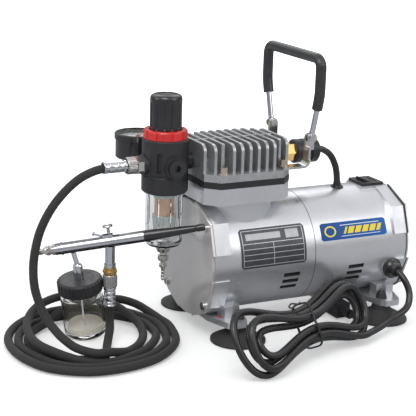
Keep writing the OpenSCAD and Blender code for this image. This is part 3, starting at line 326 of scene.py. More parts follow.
def rating_plate():
    """Dark metal plate with a ruled table of blank fields: no lettering."""
    s = Shader("rating_plate")
    uv = s.node("ShaderNodeSeparateXYZ", {0: s.coord.outputs["UV"]})
    u, v = uv.outputs[0], uv.outputs[1]
    inside = s.math("MULTIPLY", band(s, u, 0.03, 0.97), band(s, v, 0.05, 0.95))
    lines = s.math("SUBTRACT", inside, s.math("MULTIPLY", band(s, u, 0.038, 0.962),
                                              band(s, v, 0.065, 0.935)))
    for row in (0.20, 0.335, 0.47, 0.605):
        lines = s.math("MAXIMUM", lines, s.math("MULTIPLY", band(s, v, row, row + 0.014),
                                                band(s, u, 0.04, 0.96)))
    lines = s.math("MAXIMUM", lines, s.math("MULTIPLY", band(s, u, 0.495, 0.503),
                                            band(s, v, 0.065, 0.61)))
    heading = s.math("MULTIPLY", band(s, u, 0.09, 0.62), band(s, v, 0.70, 0.86))
    spots = s.math("MULTIPLY", band(s, u, 0.70, 0.90), band(s, v, 0.67, 0.89))
    marks = s.math("MAXIMUM", lines, s.math("MULTIPLY", s.math("MAXIMUM", heading, spots), 0.55))
    base = s.mix(s.ramp(s.noise(120, 4), 0, 1), (0.060, 0.063, 0.070), (0.085, 0.088, 0.096))
    s.set(Base_Color=s.mix(marks, base, (0.62, 0.63, 0.65)), Metallic=0.55,
          Normal=s.bump(marks, 0.03, 0.6), Roughness=s.ramp(s.noise(260, 3), 0.26, 0.36))
    return s.material


def side_film():
    """Blue printed film with a broken yellow stripe, a ring and thin rules: no lettering."""
    s = Shader("side_film")
    uv = s.node("ShaderNodeSeparateXYZ", {0: s.coord.outputs["UV"]})
    u, v = uv.outputs[0], uv.outputs[1]
    slant = s.math("ADD", u, s.math("MULTIPLY", v, -0.12))
    stripe = s.math("MULTIPLY", band(s, slant, 0.30, 0.86), band(s, v, 0.30, 0.68))
    gaps = s.math("GREATER_THAN", s.math("FRACT", s.math("MULTIPLY", slant, 9.0)), 0.22)
    stripe = s.math("MULTIPLY", stripe, gaps)
    du = s.math("MULTIPLY", s.math("SUBTRACT", u, 0.14), 3.6)
    dv = s.math("SUBTRACT", v, 0.5)
    away = s.math("ADD", s.math("MULTIPLY", du, du), s.math("MULTIPLY", dv, dv))
    disc = s.math("LESS_THAN", away, 0.10)
    ring = s.math("SUBTRACT", disc, s.math("LESS_THAN", away, 0.055))
    rules = s.math("MULTIPLY", s.math("MAXIMUM", band(s, v, 0.78, 0.82), band(s, v, 0.16, 0.19)),
                   band(s, u, 0.30, 0.90))
    base = s.mix(u, (0.006, 0.065, 0.27), (0.012, 0.12, 0.38))
    base = s.mix(ring, base, (0.85, 0.70, 0.06))
    base = s.mix(rules, base, (0.80, 0.84, 0.88))
    base = s.mix(stripe, base, (0.84, 0.66, 0.04))
    s.set(Base_Color=base, Roughness=s.ramp(s.noise(200, 3), 0.36, 0.46), Normal=s.bump(
        s.noise(900, 2), 0.006, 0.4), Specular_IOR_Level=0.3)
    return s.material


def cloudy_plastic(name, base):
    """Natural, slightly see-through moulded plastic."""
    s = Shader(name)
    s.set(Base_Color=s.mix(s.ramp(s.noise(90, 3), 0, 1), tint(base, 0.9), base),
          Transmission_Weight=0.35, Roughness=s.ramp(s.noise(260, 3), 0.28, 0.42), IOR=1.45,
          Subsurface_Weight=0.15, Normal=s.bump(s.noise(700, 2), 0.01, 0.4))
    return s.material


def ink(name, base):
    return moulded(name, base, rough=0.5, grain=0.002, scale=900, dust=0.0)


SILVER = painted_casting("silver_paint", (0.70, 0.71, 0.735))
PLATE = bright_metal("cover_plate", (0.62, 0.61, 0.61), rough=0.14, streak=(1, 1, 0.04), stain=0.97,
                     metallic=0.45)
# the fins' edges are lightened strongly: partly wear, partly a painted highlight
FIN_METAL = cast_metal("fin_metal", (0.52, 0.53, 0.54), rough=0.34, grain=0.05, metallic=0.80,
                       worn=0.85)
NICKEL = bright_metal("nickel", (0.74, 0.72, 0.69), rough=0.13, streak=(1, 1, 0.1), stain=0.88)
CHROME = bright_metal("chrome", (0.80, 0.81, 0.85), rough=0.06, streak=(0.05, 1, 1), stain=0.95)
# the barrel's chrome gets painted dark reflection bands above and below
BARREL = bright_metal("barrel_chrome", (0.74, 0.75, 0.80), rough=0.08, streak=(0.05, 1, 1),
                      stain=0.95, painted_dark_bands=0.9)
BRACKET = bright_metal("bracket_plate", (0.78, 0.76, 0.74), rough=0.12, stain=0.85)
ZINC = bright_metal("zinc", (0.72, 0.64, 0.52), rough=0.22, streak=(1, 1, 0.2), stain=0.8)
BRASS = bright_metal("brass", (0.70, 0.46, 0.17), rough=0.16, streak=(1, 1, 0.1), stain=0.85)
STEEL = bright_metal("steel", (0.55, 0.55, 0.56), rough=0.25, streak=(0.1, 1, 1), stain=0.85)
IRON = cast_metal("iron", (0.20, 0.20, 0.21), rough=0.55, grain=0.1)
COPPER = cast_metal("copper_wire", (0.60, 0.26, 0.10), rough=0.35, grain=0.2)
SINTER = cast_metal("sinter", (0.66, 0.42, 0.27), rough=0.62, grain=0.22, metallic=0.35)
BLACK = moulded("black_plastic", (0.022, 0.022, 0.024), rough=0.36)
GLOSS = moulded("black_gloss", (0.014, 0.014, 0.015), rough=0.20, grain=0.006, scale=700, dust=0.02,
                coat=0.5)
RUBBER = moulded("black_rubber", (0.030, 0.030, 0.031), rough=0.55, grain=0.03, scale=1100,
                 dust=0.10)
GRIP = moulded("grip_rubber", (0.026, 0.027, 0.029), rough=0.30, scale=900, dust=0.04, coat=0.25)
CORD = moulded("cord_pvc", (0.016, 0.016, 0.017), rough=0.27, grain=0.003, scale=800, dust=0.012,
               coat=0.2)
VALVE_BLACK = moulded("valve_black", (0.018, 0.018, 0.020), rough=0.42, scale=900)
RED = moulded("red_nylon", (0.62, 0.020, 0.018), rough=0.30, grain=0.01, scale=900, dust=0.02,
              coat=0.3)
WHITE = moulded("dial_white", (0.80, 0.80, 0.78), rough=0.5, grain=0.005, scale=900, dust=0.0)
SEAL = moulded("seal", (0.10, 0.08, 0.06), rough=0.5)
BOWL = clear("clear_bowl", (0.95, 0.965, 0.975), rough=0.015, ior=1.49)
JAR = clear("jar_glass", (0.975, 0.975, 0.950), rough=0.01, ior=1.5, ripple=0.05)
LENS = clear("lens", (0.98, 0.985, 0.99), rough=0.01, ior=1.10, ripple=0.002)
BRAID = braided("braid")
LABEL = moulded("label_film", (0.03, 0.14, 0.42), rough=0.3, grain=0.004, scale=900, dust=0.0,
                coat=0.3)
KNURLED = bright_metal("knurled_nickel", (0.62, 0.60, 0.58), rough=0.24, stain=0.75)
CLOUDY = cloudy_plastic("cloudy_plastic", (0.84, 0.84, 0.80))
RESIDUE = cloudy_plastic("paint_residue", (0.95, 0.89, 0.81))
INK = ink("dial_ink", (0.02, 0.02, 0.02))
BLUE_INK = ink("dial_blue", (0.05, 0.16, 0.42))
GREEN_INK = ink("dial_green", (0.07, 0.32, 0.12))
SEAM = moulded("joint_line", (0.05, 0.05, 0.052), rough=0.6)
# near-black painted shade for the castings' inner walls and vent walls, standing in for the shade
# inside them
PAINTED_SHADE = cast_metal("painted_shade_inside", (0.075, 0.075, 0.08), rough=0.6, grain=0.1, metallic=0.4)
PLATE_PRINT = rating_plate()
SIDE_PRINT = side_film()

NODE_MATERIALS = {
    SILVER: "crankcase motor_housing rear_cover",
    PLATE: "front_cover",
    FIN_METAL: "cylinder_head connecting_rod",
    NICKEL: "cover_screws air_fittings drain_valve hose_ends airbrush_nozzle trigger",
    CHROME: "valve_stem siphon_tube handle_rod",
    BARREL: "airbrush_body",
    BRACKET: "handle_brackets",
    ZINC: "head_bolts",
    BRASS: "switch_fitting hose_adapter",
    STEEL: "motor_shaft shaft_bearings rod_bearing regulator_spindle regulator_spring needle",
    IRON: "cylinder_sleeve crank_disc rotor stator",
    SINTER: "filter_element",
    BLACK: "pressure_switch rocker_frame cooling_fan mains_plug regulator_body jar_cap",
    GLOSS: "rocker strain_relief regulator_knob gauge_case port_plug airbrush_handle",
    RUBBER: "rear_gasket suction_feet",
    GRIP: "handle_grip",
    CORD: "switch_cable power_cord cord_tie",
    VALVE_BLACK: "valve_plate",
    RED: "lock_ring gauge_needle",
    WHITE: "gauge_dial capacitor",
    SEAL: "piston_seal",
    BOWL: "filter_bowl",
    JAR: "jar",
    LENS: "gauge_lens",
    BRAID: "air_hose",
    LABEL: "labels",
}


def dress(node, material, bevel_mm=0.0, angle=32):
    """Gives a CAD node its material, smooth shading, and rounded edges."""
    obj = NODES[node]
    obj.data.materials.clear()
    obj.data.materials.append(material)
    obj.data.shade_smooth()
    if bevel_mm:
        bevel = obj.modifiers.new("round_edges", "BEVEL")
        bevel.width = bevel_mm * MM
        bevel.segments = 2
        bevel.limit_method = "ANGLE"
        bevel.angle_limit = math.radians(angle)
        bevel.harden_normals = False
        bevel.use_clamp_overlap = True


# width of the rounded edges in mm, and the nodes that have it
ROUNDED = {
    0.9: "crankcase motor_housing",
    0.5: "front_cover rear_cover cylinder_head regulator_body rocker_frame pressure_switch",
    0.35: "gauge_case handle_brackets port_plug rocker strain_relief head_bolts cover_screws "
          "air_fittings valve_plate suction_feet switch_fitting",
    0.2: "airbrush_body airbrush_nozzle airbrush_handle trigger siphon_tube",
    1.6: "mains_plug",
}
WIDTH = {node: width for width, names in ROUNDED.items() for node in names.split()}


def dress_nodes():
    """Gives every CAD node its looks, and paints the faces that differ."""
    for material, names in NODE_MATERIALS.items():
        for node in names.split():
            dress(node, material, WIDTH.get(node, 0.0))
            NODES[node].data.set_sharp_from_angle(angle=math.radians(30))

    def shaded_inner_wall(x, y, z):
        inside = math.hypot(y, z - AXIS_Z) < BARREL_R - 0.5
        return inside and MOTOR_SPACE_X[0] < x < MOTOR_SPACE_X[1] and z < CYLINDER_FOOT_Z

    # the inner walls inside the motor space get the near-black painted shade
    for node in ("crankcase", "motor_housing"):
        paint(node, PAINTED_SHADE, shaded_inner_wall)
    low, high = BARREL_R + 0.02, BARREL_R + 0.16
    seam = Solid().revolve([(low, -0.3), (high, -0.15), (high, 0.15), (low, 0.3)],
                           along((CASTING_JOINT_X, 0, AXIS_Z), (1, 0, 0)), 96, caps=OPEN)
    piece("casting_seam", seam, [SEAM], "crankcase", stands_for=False)
    paint("mains_plug", BRASS, lambda x, y, z: y > PLUG_FACE_Y)
    paint("stator", COPPER, lambda x, y, z: not LAMINATIONS_X[0] < x < LAMINATIONS_X[1])


# --------------------------------------------------------------- mesh building

def spline(points, steps):
    """Points of a smooth curve through the control points."""
    p = np.array(points, float)
    out = []
    for i in range(len(p) - 1):
        a, b, c, d = p[max(i - 1, 0)], p[i], p[i + 1], p[min(i + 2, len(p) - 1)]
        for k in range(steps):
            t = k / steps
            out.append(0.5 * (2 * b + (c - a) * t + (2 * a - 5 * b + 4 * c - d) * t * t
                              + (3 * b - a - 3 * c + d) * t ** 3))
    out.append(p[-1])
    return np.array(out)


def even(path, step):
    """The same path with points at equal distances."""
    length = np.r_[0, np.cumsum(np.linalg.norm(np.diff(path, axis=0), axis=1))]
    at = np.linspace(0, length[-1], max(int(length[-1] / step), 2) + 1)
    return np.array([np.interp(at, length, path[:, k]) for k in range(3)]).T


def soft(profile, radius, steps=3):
    """A profile of (r, h) points with its corners rounded."""
    p = np.array(profile, float)
    out = [p[0]]
    for a, b, c in zip(p[:-2], p[1:-1], p[2:]):
        ab, cb = a - b, c - b
        cut = min(radius, np.linalg.norm(ab) * 0.45, np.linalg.norm(cb) * 0.45)
        start = b + ab / np.linalg.norm(ab) * cut
        end = b + cb / np.linalg.norm(cb) * cut
        for t in np.linspace(0, 1, steps + 1):
            out.append((1 - t) ** 2 * start + 2 * t * (1 - t) * b + t * t * end)
    out.append(p[-1])
    return out


def dense(profile, step, low=-1e9, high=1e9):
    """Extra points on the profile's long segments between two heights."""
    out = [np.array(profile[0], float)]
    for a, b in zip(profile[:-1], profile[1:]):
        a, b = np.array(a, float), np.array(b, float)
        inside = min(a[1], b[1]) >= low - 0.5 and max(a[1], b[1]) <= high + 0.5
        count = max(int(np.linalg.norm(b - a) / step), 1) if inside else 1
        out.extend(a + (b - a) * k / count for k in range(1, count + 1))
    return out


def upright(x, y):
    """Frame with Z up, whose origin is on the floor plane."""
    return Matrix.Translation((x, y, 0))


def along(origin, direction):
    """Frame at origin, in millimetres, whose Z runs along the direction."""
    turn = Vector(direction).to_track_quat("Z", "Y").to_matrix().to_4x4()
    return Matrix.Translation(origin) @ turn


OPEN, CLOSED = (False, False), (True, True)  # without and with caps at both ends


class Solid:
    """A mesh under construction, in millimetres."""

    def __init__(self):
        self.points, self.faces, self.marks, self.uvs = [], [], [], []

    def rows(self, grid, closed=True, caps=CLOSED, mark=0, uv=None):
        """Joins a grid of points, row by row, into faces; caps close the first and last row."""
        grid = np.asarray(grid, float)
        n, m, _ = grid.shape
        base = len(self.points)
        self.points.extend(map(tuple, grid.reshape(-1, 3)))
        uv = uv or (lambda i, k: (k / m, i / max(n - 1, 1)))
        for i in range(n - 1):
            for k in range(m if closed else m - 1):
                a, b = base + i * m + k, base + i * m + (k + 1) % m
                self.face((a, b, b + m, a + m), mark,
                          (uv(i, k), uv(i, k + 1), uv(i + 1, k + 1), uv(i + 1, k)))
        if caps[0]:
            self.face(tuple(reversed(range(base, base + m))), mark)
        if caps[1]:
            self.face(tuple(range(base + (n - 1) * m, base + n * m)), mark)
        return self

    def face(self, corners, mark=0, uv=None):
        """One face. mark is its place in the piece's list of materials."""
        self.faces.append(corners)
        self.marks.append(mark)
        self.uvs.extend(uv or [(0.0, 0.0)] * len(corners))

    def revolve(self, profile, frame_at, sides=72, ripple=None, mark=0, caps=CLOSED):
        """Turns (r, h) points round the frame's Z. ripple(angle, h, r) adds to the radius."""
        angles = np.arange(sides) * 2 * math.pi / sides
        grid = []
        for r, h in profile:
            wide = np.full(sides, max(r, 0.01))
            if ripple is not None and r > 0.5:
                wide = wide + ripple(angles, h, r)
            ring = np.stack([wide * np.cos(angles), wide * np.sin(angles), np.full(sides, h)], 1)
            grid.append(ring)
        turn = np.array(frame_at)
        grid = np.array(grid) @ turn[:3, :3].T + turn[:3, 3]
        return self.rows(grid, True, caps, mark)

    def tube(self, path, radius, sides=16, ripple=None, mark=0, around=1.0, per_mm=0.1):
        """A round tube along a path. ripple(turn, length) adds to the radius."""
        path = np.asarray(path, float)
        t = np.gradient(path, axis=0)
        t /= np.linalg.norm(t, axis=1)[:, None]
        s = np.cross(t[0], (0.31, 0.2, 0.93))
        step = np.r_[0, np.cumsum(np.linalg.norm(np.diff(path, axis=0), axis=1))]
        angles = np.arange(sides) * 2 * math.pi / sides
        radius = np.broadcast_to(radius, len(path))
        grid = []
        for i in range(len(path)):
            s = s - t[i] * np.dot(s, t[i])
            s /= np.linalg.norm(s)
            other = np.cross(t[i], s)
            wide = np.full(sides, radius[i])
            if ripple is not None:
                wide = wide + ripple(angles, step[i])
            grid.append(path[i] + wide[:, None] * (np.cos(angles)[:, None] * s
                                                   + np.sin(angles)[:, None] * other))
        uv = lambda i, k: (k / sides * around, step[min(i, len(path) - 1)] * per_mm)
        return self.rows(grid, True, CLOSED, mark, uv)

    def prism(self, outline, z0, z1, frame_at=None, edge=0.4, mark=0):
        """An outline in X and Y between two heights, with its long edges rounded off."""
        p = np.array(outline, float)
        middle = p.mean(0)
        grid = []
        for inset, z in ((edge, z0), (0.3 * edge, z0 + 0.3 * edge), (0, z0 + edge),
                         (0, z1 - edge), (0.3 * edge, z1 - 0.3 * edge), (edge, z1)):
            away = p - middle
            shrink = 1 - inset / np.maximum(np.linalg.norm(away, axis=1), edge)[:, None]
            ring = middle + away * shrink
            grid.append(np.c_[ring, np.full(len(p), z)])
        turn = np.array(frame_at if frame_at is not None else Matrix.Identity(4))
        return self.rows(np.array(grid) @ turn[:3, :3].T + turn[:3, 3], True, CLOSED, mark)


def piece(name, solid, materials, node, stands_for=True, angle=38, body=None):
    """Puts a finished solid in the scene, riding on the CAD node's body."""
    mesh = bpy.data.meshes.new(name)
    mesh.from_pydata([tuple(c * MM for c in p) for p in solid.points], [], solid.faces)
    layer = mesh.uv_layers.new(name="UVMap")
    layer.data.foreach_set("uv", np.array(solid.uvs, np.float32).ravel())
    mesh.polygons.foreach_set("material_index", solid.marks)
    for material in materials:
        mesh.materials.append(material)
    welded = bmesh.new()
    welded.from_mesh(mesh)
    bmesh.ops.remove_doubles(welded, verts=welded.verts, dist=1e-7)
    bmesh.ops.recalc_face_normals(welded, faces=welded.faces)
    welded.to_mesh(mesh)
    welded.free()
    mesh.shade_smooth()
    mesh.set_sharp_from_angle(angle=math.radians(angle))
    obj = bpy.data.objects.new(name, mesh)
    bpy.context.scene.collection.objects.link(obj)
    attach(obj, body or body_of(NODES[node])[0])
    if stands_for:
        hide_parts(node)
    return obj


def paint(node, material, test):
    """Gives another material to the faces of a CAD node where test(x, y, z in mm) is true."""
    mesh = NODES[node].data
    mesh.materials.append(material)
    for face in mesh.polygons:
        face.material_index = int(test(*(c / MM for c in face.center)))


# ------------------------------------------------------------------ ripples

def straight_knurl(count, depth, low, high):
    """Ridges along the axis, between two heights."""
    def ripple(angle, h, r):
        return depth * np.cos(count * angle) if low <= h <= high else 0 * angle
    return ripple


def cross_knurl(count, depth, pitch, low, high):
    """Diamond knurling: two families of ridges that cross."""
    def ripple(angle, h, r):
        if not low <= h <= high:
            return 0 * angle
        lead = 2 * math.pi * h / pitch
        return depth * np.maximum(np.cos(count * angle + lead), np.cos(count * angle - lead))
    return ripple


# --------------------------------------------------------------- hose and its ends

# knots of the coil on the floor: angle in degrees and radius round COIL_CENTRE, and height
HOSE_LAY = [
    (194.5, 48, 30.7), (206, 48, 24.5), (219, 50.5, 19.5), (234, 55, 14.8), (250, 58.5, 12.3),
    (262, 55, 11.2), (275, 49.6, 7.6), (290, 45, 4.4), (311, 42.7, 4.1), (335, 42.4, 4.1),
    (352, 44.2, 5), (368, 46.8, 6.5), (382, 49, 9), (396, 51.5, 12), (408, 54, 15.5),
    (422, 57, 18.8), (438, 59.5, 21), (458, 61, 22.2), (478, 59.5, 21), (494, 58.5, 18.6),
    (510, 57, 16.2), (528, 56.6, 14.2), (544, 57.5, 12.9), (560, 59.5, 12.2), (574, 61, 11.4),
    (588, 61.6, 9), (602, 61.8, 6.2), (616, 61, 4.2), (630, 58, 4.1), (644, 55, 4.1),
    (666, 53.2, 4.1), (698, 54, 4.1), (720, 55.2, 4.1), (745, 57.2, 4.1), (780, 58, 4.1),
    (815, 58.3, 4.1), (840, 60.8, 4.1), (865, 63.8, 4.1), (895, 64.8, 4.1), (920, 65, 4.1),
    (944, 69.4, 4.1), (968, 69.9, 4.1), (994, 65.9, 4.1), (1020, 64, 4.1), (1050, 63.2, 4.1),
    (1080, 64, 4.1), (1100, 66, 4.1), (1125, 70, 4.1), (1150, 73.5, 4.1), (1172, 75.4, 4.1),
    (1195, 74, 4.1), (1218, 72.7, 4.1), (1240, 72.6, 4.1), (1262, 72.9, 4.1), (1284, 75.5, 4.1),
    (1304, 78.5, 4.1), (1328, 78, 4.1), (1354, 74, 4.1), (1380, 72, 4.1), (1410, 71.2, 4.1),
    (1440, 72.4, 4.1), (1455, 74.5, 4.1), (1468, 77.7, 6), (1480, 79.5, 10), (1492, 78.5, 12.4),
    (1504, 73, 12.4), (1516, 66, 12.4), (1528, 58.5, 12.4), (1540, 52.8, 12.2), (1552, 50.3, 9.3),
    (1564, 51, 5.8), (1576, 53.3, 4.1), (1590, 55, 4.1), (1605, 55.9, 4.1), (1620, 56.3, 4.1),
    (1640, 55.8, 4.1), (1664, 55, 4.1), (1680, 53.2, 4.1),
]


def hose_path():
    """Falls from the regulator's outlet, lies in a coil, and rises into the air valve."""
    foot = np.array(VALVE) - (0, 0, 56)
    fall = [(-162, 0, 151), (-166.5, 0, 151), (-176, 0, 151), (-190, 0, 148.5),
            (-203.5, 0, 142.5), (-216.5, 0, 132), (-227.5, 0, 119), (-236, 0, 103.5),
            (-241, -1, 88.5), (-244, -3, 72.5), (-244.5, -7, 56), (-242, -12.5, 42)]
    coil = [(COIL_CENTRE[0] + r * math.cos(math.radians(a)),
             COIL_CENTRE[1] + r * math.sin(math.radians(a)), z) for a, r, z in HOSE_LAY]
    rise = [(-209, -57.5, 4.1), (-200.5, -54.5, 4.1), (-195, -46, 4.1), (-190.5, -35, 4.6),
            (-185, -24.5, 7), (-179.8, -15.5, 12.5), (-178.3, -11.4, 20),
            tuple(foot - (0, 0, 4)), tuple(foot + (0, 0, 6)), tuple(foot + (0, 0, 12))]
    return spline(fall + coil + rise, 8)


def build_hose():
    """A round tube whose skin carries two families of crossing strands."""
    strands, pitch, depth = 9, 4.4, 0.10
    radius, spacing = 3.62, 0.85

    def weave(angle, length):
        lead = 2 * math.pi * length / pitch
        one = np.cos(strands * angle + lead)
        two = np.cos(strands * angle - lead)
        return depth * np.maximum(one, two)

    solid = Solid().tube(even(hose_path(), spacing), radius, 44, weave, around=2 * strands,
                         per_mm=2 / pitch)
    piece("hose_braid", solid, [BRAID], "air_hose", angle=80)


def crimp(start, length, bore):
    """Plated ferrule: collar, plain sleeve with two rolled rings, and a lip over the hose."""
    end = start + length
    profile = [(4.2, start), (5.2, start), (5.4, start + 0.6), (5.4, start + 2.2),
               (4.6, start + 2.6), (4.6, start + 3.6), (5.1, start + 4)]
    for z in (start + 0.42 * length, end - 5):
        profile += [(5.1, z - 0.6), (4.75, z - 0.35), (4.75, z + 0.35), (5.1, z + 0.6)]
    profile += [(5.1, end - 1.8), (5.4, end - 1.5), (5.4, end - 0.3), (5.1, end),
                (bore, end), (bore, end - 3)]
    return soft(profile, 0.15)


def build_hose_ends():
    """Knurled nuts with crimped ferrules at the regulator and under the air valve."""
    solid = Solid()
    out = along((OUTLET_X - 7.5, 0, PORT_Z), (-1, 0, 0))
    nut = soft([(3.5, 0), (6.6, 0), (7.2, 0.6), (7.2, 8.2), (6.4, 8.8)], 0.3)
    solid.revolve(dense(nut, 0.45, 0.5, 8.3), out, 220, straight_knurl(34, 0.16, 0.8, 8.0),
                  caps=OPEN)
    solid.revolve(crimp(8.8, 21, 3.95), out, 64, mark=1, caps=OPEN)
    solid.revolve([(4.2, 8.6), (5.4, 8.7), (5.4, 9.0), (4.2, 9.1)], out, 48, mark=1)
    nut = soft([(3.3, 29.2), (5.6, 29.2), (6.2, 29.8), (6.2, 40.0), (5.6, 40.6)], 0.3)
    solid.revolve(dense(nut, 0.45, 29.7, 40.1), DROP, 200, straight_knurl(30, 0.16, 30.2, 39.6),
                  caps=OPEN)
    solid.revolve(crimp(40.6, 17, 3.85), DROP, 64, mark=1, caps=OPEN)
    piece("hose_ferrules", solid, [KNURLED, CHROME], "hose_ends")
    brass = Solid()
    body = soft([(1.8, 22.6), (4.6, 22.6), (5.5, 23.1), (5.5, 23.9), (5.0, 24.3), (5.0, 24.9),
                 (6.1, 25.3), (6.1, 27.3), (5.0, 27.7), (5.0, 28.2), (5.5, 28.5), (5.3, 29.0),
                 (3.1, 29.1), (3.1, 31), (1.8, 31)], 0.2)
    brass.revolve(dense(body, 0.4, 25.2, 27.4), DROP, 140, cross_knurl(22, 0.13, 2.6, 25.4, 27.2),
                  caps=OPEN)
    piece("valve_adapter", brass, [BRASS], "hose_adapter")


# ------------------------------------------------------------------------ cord

def cord_path():
    """Three layers of flat cord loops, pinched at the middle by the tie, with both leads."""
    radius, turns = 3.1, 2
    gap, layers = 2 * radius + 0.5, 2 * radius + 0.6
    centre = Vector((-38, -106.5, 27.1))
    long = Vector((0.935, 0.345, 0.02)).normalized()
    layer = long.cross(Vector((-0.1, 0.45, 0.88))).normalized()
    wide = layer.cross(long)

    def smooth(t):
        t = min(max(t, 0), 1)
        return t * t * (3 - 2 * t)

    peak, peak_s = 0.385, 0.577  # s * c * c is widest there

    def loop(angle):
        w = angle / 360
        d = w if w < turns else 2 * turns - w if w < 2 * turns else w - 2 * turns
        c, s = -math.cos(math.radians(angle)), math.sin(math.radians(angle))
        one = smooth((w - turns + 0.12) / 0.24)
        two = smooth((w - 2 * turns + 0.12) / 0.24)
        inset = 3.6 * (one - two)
        pinch = 1.8 + gap * (turns - d)
        lobe = (31 if c > 0 else 29.5) - 8.8 * d - inset
        across = s * ((lobe - peak_s * pinch) / peak * c * c + pinch)
        depth = layers * (one + two - 1)
        return tuple(centre + (83 - 8.6 * d - inset) * c * long + across * wide - depth * layer)

    first, last = 215, 360 * 2 * turns + 150
    plug = (41, -40, 8)
    lead_in = spline([(84.5, -45, 46.5), (84.5, -57, 46.5), (87, -67, 40), (88.5, -74, 29),
                      (82, -80, 18), (64, -84, 11.5), (46, -92, 8.5), loop(first),
                      loop(first + 12)], 6)
    lead_out = spline([loop(last - 12), loop(last), (34.5, -67, 24), (39.8, -66, 16.5),
                       (41.2, -61.3, 10.4), (plug[0], plug[1] - 13, plug[2]),
                       (plug[0], plug[1] - 4, plug[2])], 6)
    middle = [loop(a) for a in range(first, last + 1, 5)]
    return np.concatenate([lead_in[:-8], middle, lead_out[8:]]), (centre, long, wide, layer)


def build_cord():
    """The mains cord's sheath, and the wire tie round the waist of its bundle."""
    path, (centre, long, wide, layer) = cord_path()
    smooth_path = spline(path[::2], 3)
    solid = Solid().tube(even(smooth_path, 1.6), 3.05, 20)
    piece("cord_sheath", solid, [CORD], "power_cord", angle=60)
    # the tie: a coated wire wound twice round the waist, its ends twisted into a small loop
    half, deep, per_turn, turns = 19.2, 10.9, 40, 2
    wire = []
    for k in range(turns * per_turn + 1):
        a = 2 * math.pi * k / per_turn
        c, s = math.cos(a), math.sin(a)
        squash = (abs(c) ** 5 + abs(s) ** 5) ** -0.2
        wire.append(centre + long * (-0.9 + 0.9 * k / per_turn) + wide * (half * s * squash)
                    + layer * (deep * c * squash))
    ties = Solid().tube(even(np.array([tuple(p) for p in wire]), 1.2), 0.75, 8)
    top = centre + wide * (half + 0.4) + layer * 2 - long * 2
    bow = [top, top - long * 6 + wide * 0.6 + layer * 2, top - long * 13 + wide * 2.5 + layer * 3,
           top - long * 17.5 + wide * 0.6 + layer * 3.4, top - long * 13.5 - wide * 1.1 + layer * 3,
           top - long * 7 - wide * 0.1 + layer * 2.4, top - long * 1 + wide * 0.8 + layer * 1.6]
    ties.tube(spline([tuple(p) for p in bow], 6), 0.7, 8)
    piece("cord_wire_tie", ties, [CORD], "cord_tie")


# ------------------------------------------------------------- regulator and gauge

def build_regulator():
    """Fluted knob, notched lock ring, clear bowl with its filter, and drain cock."""
    low, high = 181.4, 204.4

    def flutes(angle, h, r):
        if not low - 0.1 < h < high + 0.1:
            return 0 * angle
        ends = min(1.0, (h - low + 0.1) / 1.6, (high + 0.1 - h) / 1.6)
        return -1.15 * ends * np.clip(np.cos(12 * angle), 0, 1) ** 1.6

    knob = soft([(3.2, 178.2), (13.1, 178.2), (13.8, 181.4), (13.9, 204.4), (13.9, 207.6),
                 (12.9, 209.9), (10.6, 211), (9.5, 211), (9.3, 210), (0.01, 210)], 0.7)
    solid = Solid().revolve(dense(knob, 0.8, low, high), upright(*REG), 192, flutes)
    piece("knob_cap", solid, [GLOSS], "regulator_knob", angle=50)

    def notches(angle, h, r):
        if h < 174.4:
            return 0 * angle
        return -1.1 * (np.cos(10 * (angle - 0.157)) > 0.72)

    ring = soft([(14.9, 173), (18.6, 173), (19, 173.5), (19, 174.4), (19, 174.6), (19, 179.6),
                 (18, 181), (14.9, 181)], 0.35)
    solid = Solid().revolve(ring + [ring[0]], upright(*REG), 240, notches, caps=OPEN)
    piece("knob_lock_ring", solid, [RED], "lock_ring")

    # clear bowl: thick wall with moulded ribs inside, shoulder and drain boss
    def ribs(angle, h, r):
        inside = 85 < h < 133 and r < 15
        return -0.7 * (np.clip(np.cos(8 * angle), 0.9, 1) - 0.9) * 10 if inside else 0 * angle

    outer = soft([(3.5, 77), (10.5, 77), (14.6, 78.6), (16.2, 82.2), (16.2, 134)], 1.2, 4)
    inner = soft([(14.4, 134), (14.4, 84), (12.8, 80.6), (10, 79.3), (3.5, 79.3)], 0.9, 4)
    wall = outer + dense(inner, 8)
    solid = Solid().revolve(wall + wall[:1], upright(*REG), 96, ribs, caps=OPEN)
    piece("bowl_shell", solid, [BOWL], "filter_bowl")

    # sintered element under its holder, with a finned baffle below
    solid = Solid()
    solid.revolve(soft([(5, 105.6), (8.4, 105.6), (8.4, 121), (5, 121), (5, 105.6)], 0.3),
                  upright(*REG), 64, caps=OPEN)
    fins = lambda angle, h, r: -0.9 * (np.cos(12 * angle) > 0.55) * (h < 103.5) * (r > 8.5)
    baffle = dense(soft([(8, 90), (9, 90), (10.3, 103.6), (10.4, 105.4), (4, 105.6)], 0.3), 1.6)
    solid.revolve(baffle + [(4, 103), (8, 103), (8, 90)], upright(*REG), 144, fins, 1,
                  OPEN)
    solid.revolve(soft([(4, 121), (9.6, 121), (9.6, 125.4), (3.95, 125.6), (3.95, 145)], 0.4),
                  upright(*REG), 48, mark=1)
    piece("filter_cartridge", solid, [SINTER, CLOUDY], "filter_element")

    drain = [(0.01, 45), (1.1, 45)]
    for z in (46.9, 49.9, 52.9):
        drain += [(1.9, z), (1.3, z + 0.7)]
    drain += [(1.9, 55), (1.9, 57), (3.6, 57.4), (3.6, 60), (2.4, 60.6), (2.4, 63), (4.7, 63.6),
              (4.7, 68), (2.95, 68.6), (2.95, 79.6), (6.2, 79.6), (6.2, 81.6), (3, 82.2),
              (0.01, 82.2)]
    grip = straight_knurl(20, 0.15, 64, 67.8)
    solid = Solid().revolve(dense(soft(drain, 0.25, 2), 0.7, 64, 75), upright(*REG), 120, grip)
    piece("drain_cock", solid, [NICKEL], "drain_valve")


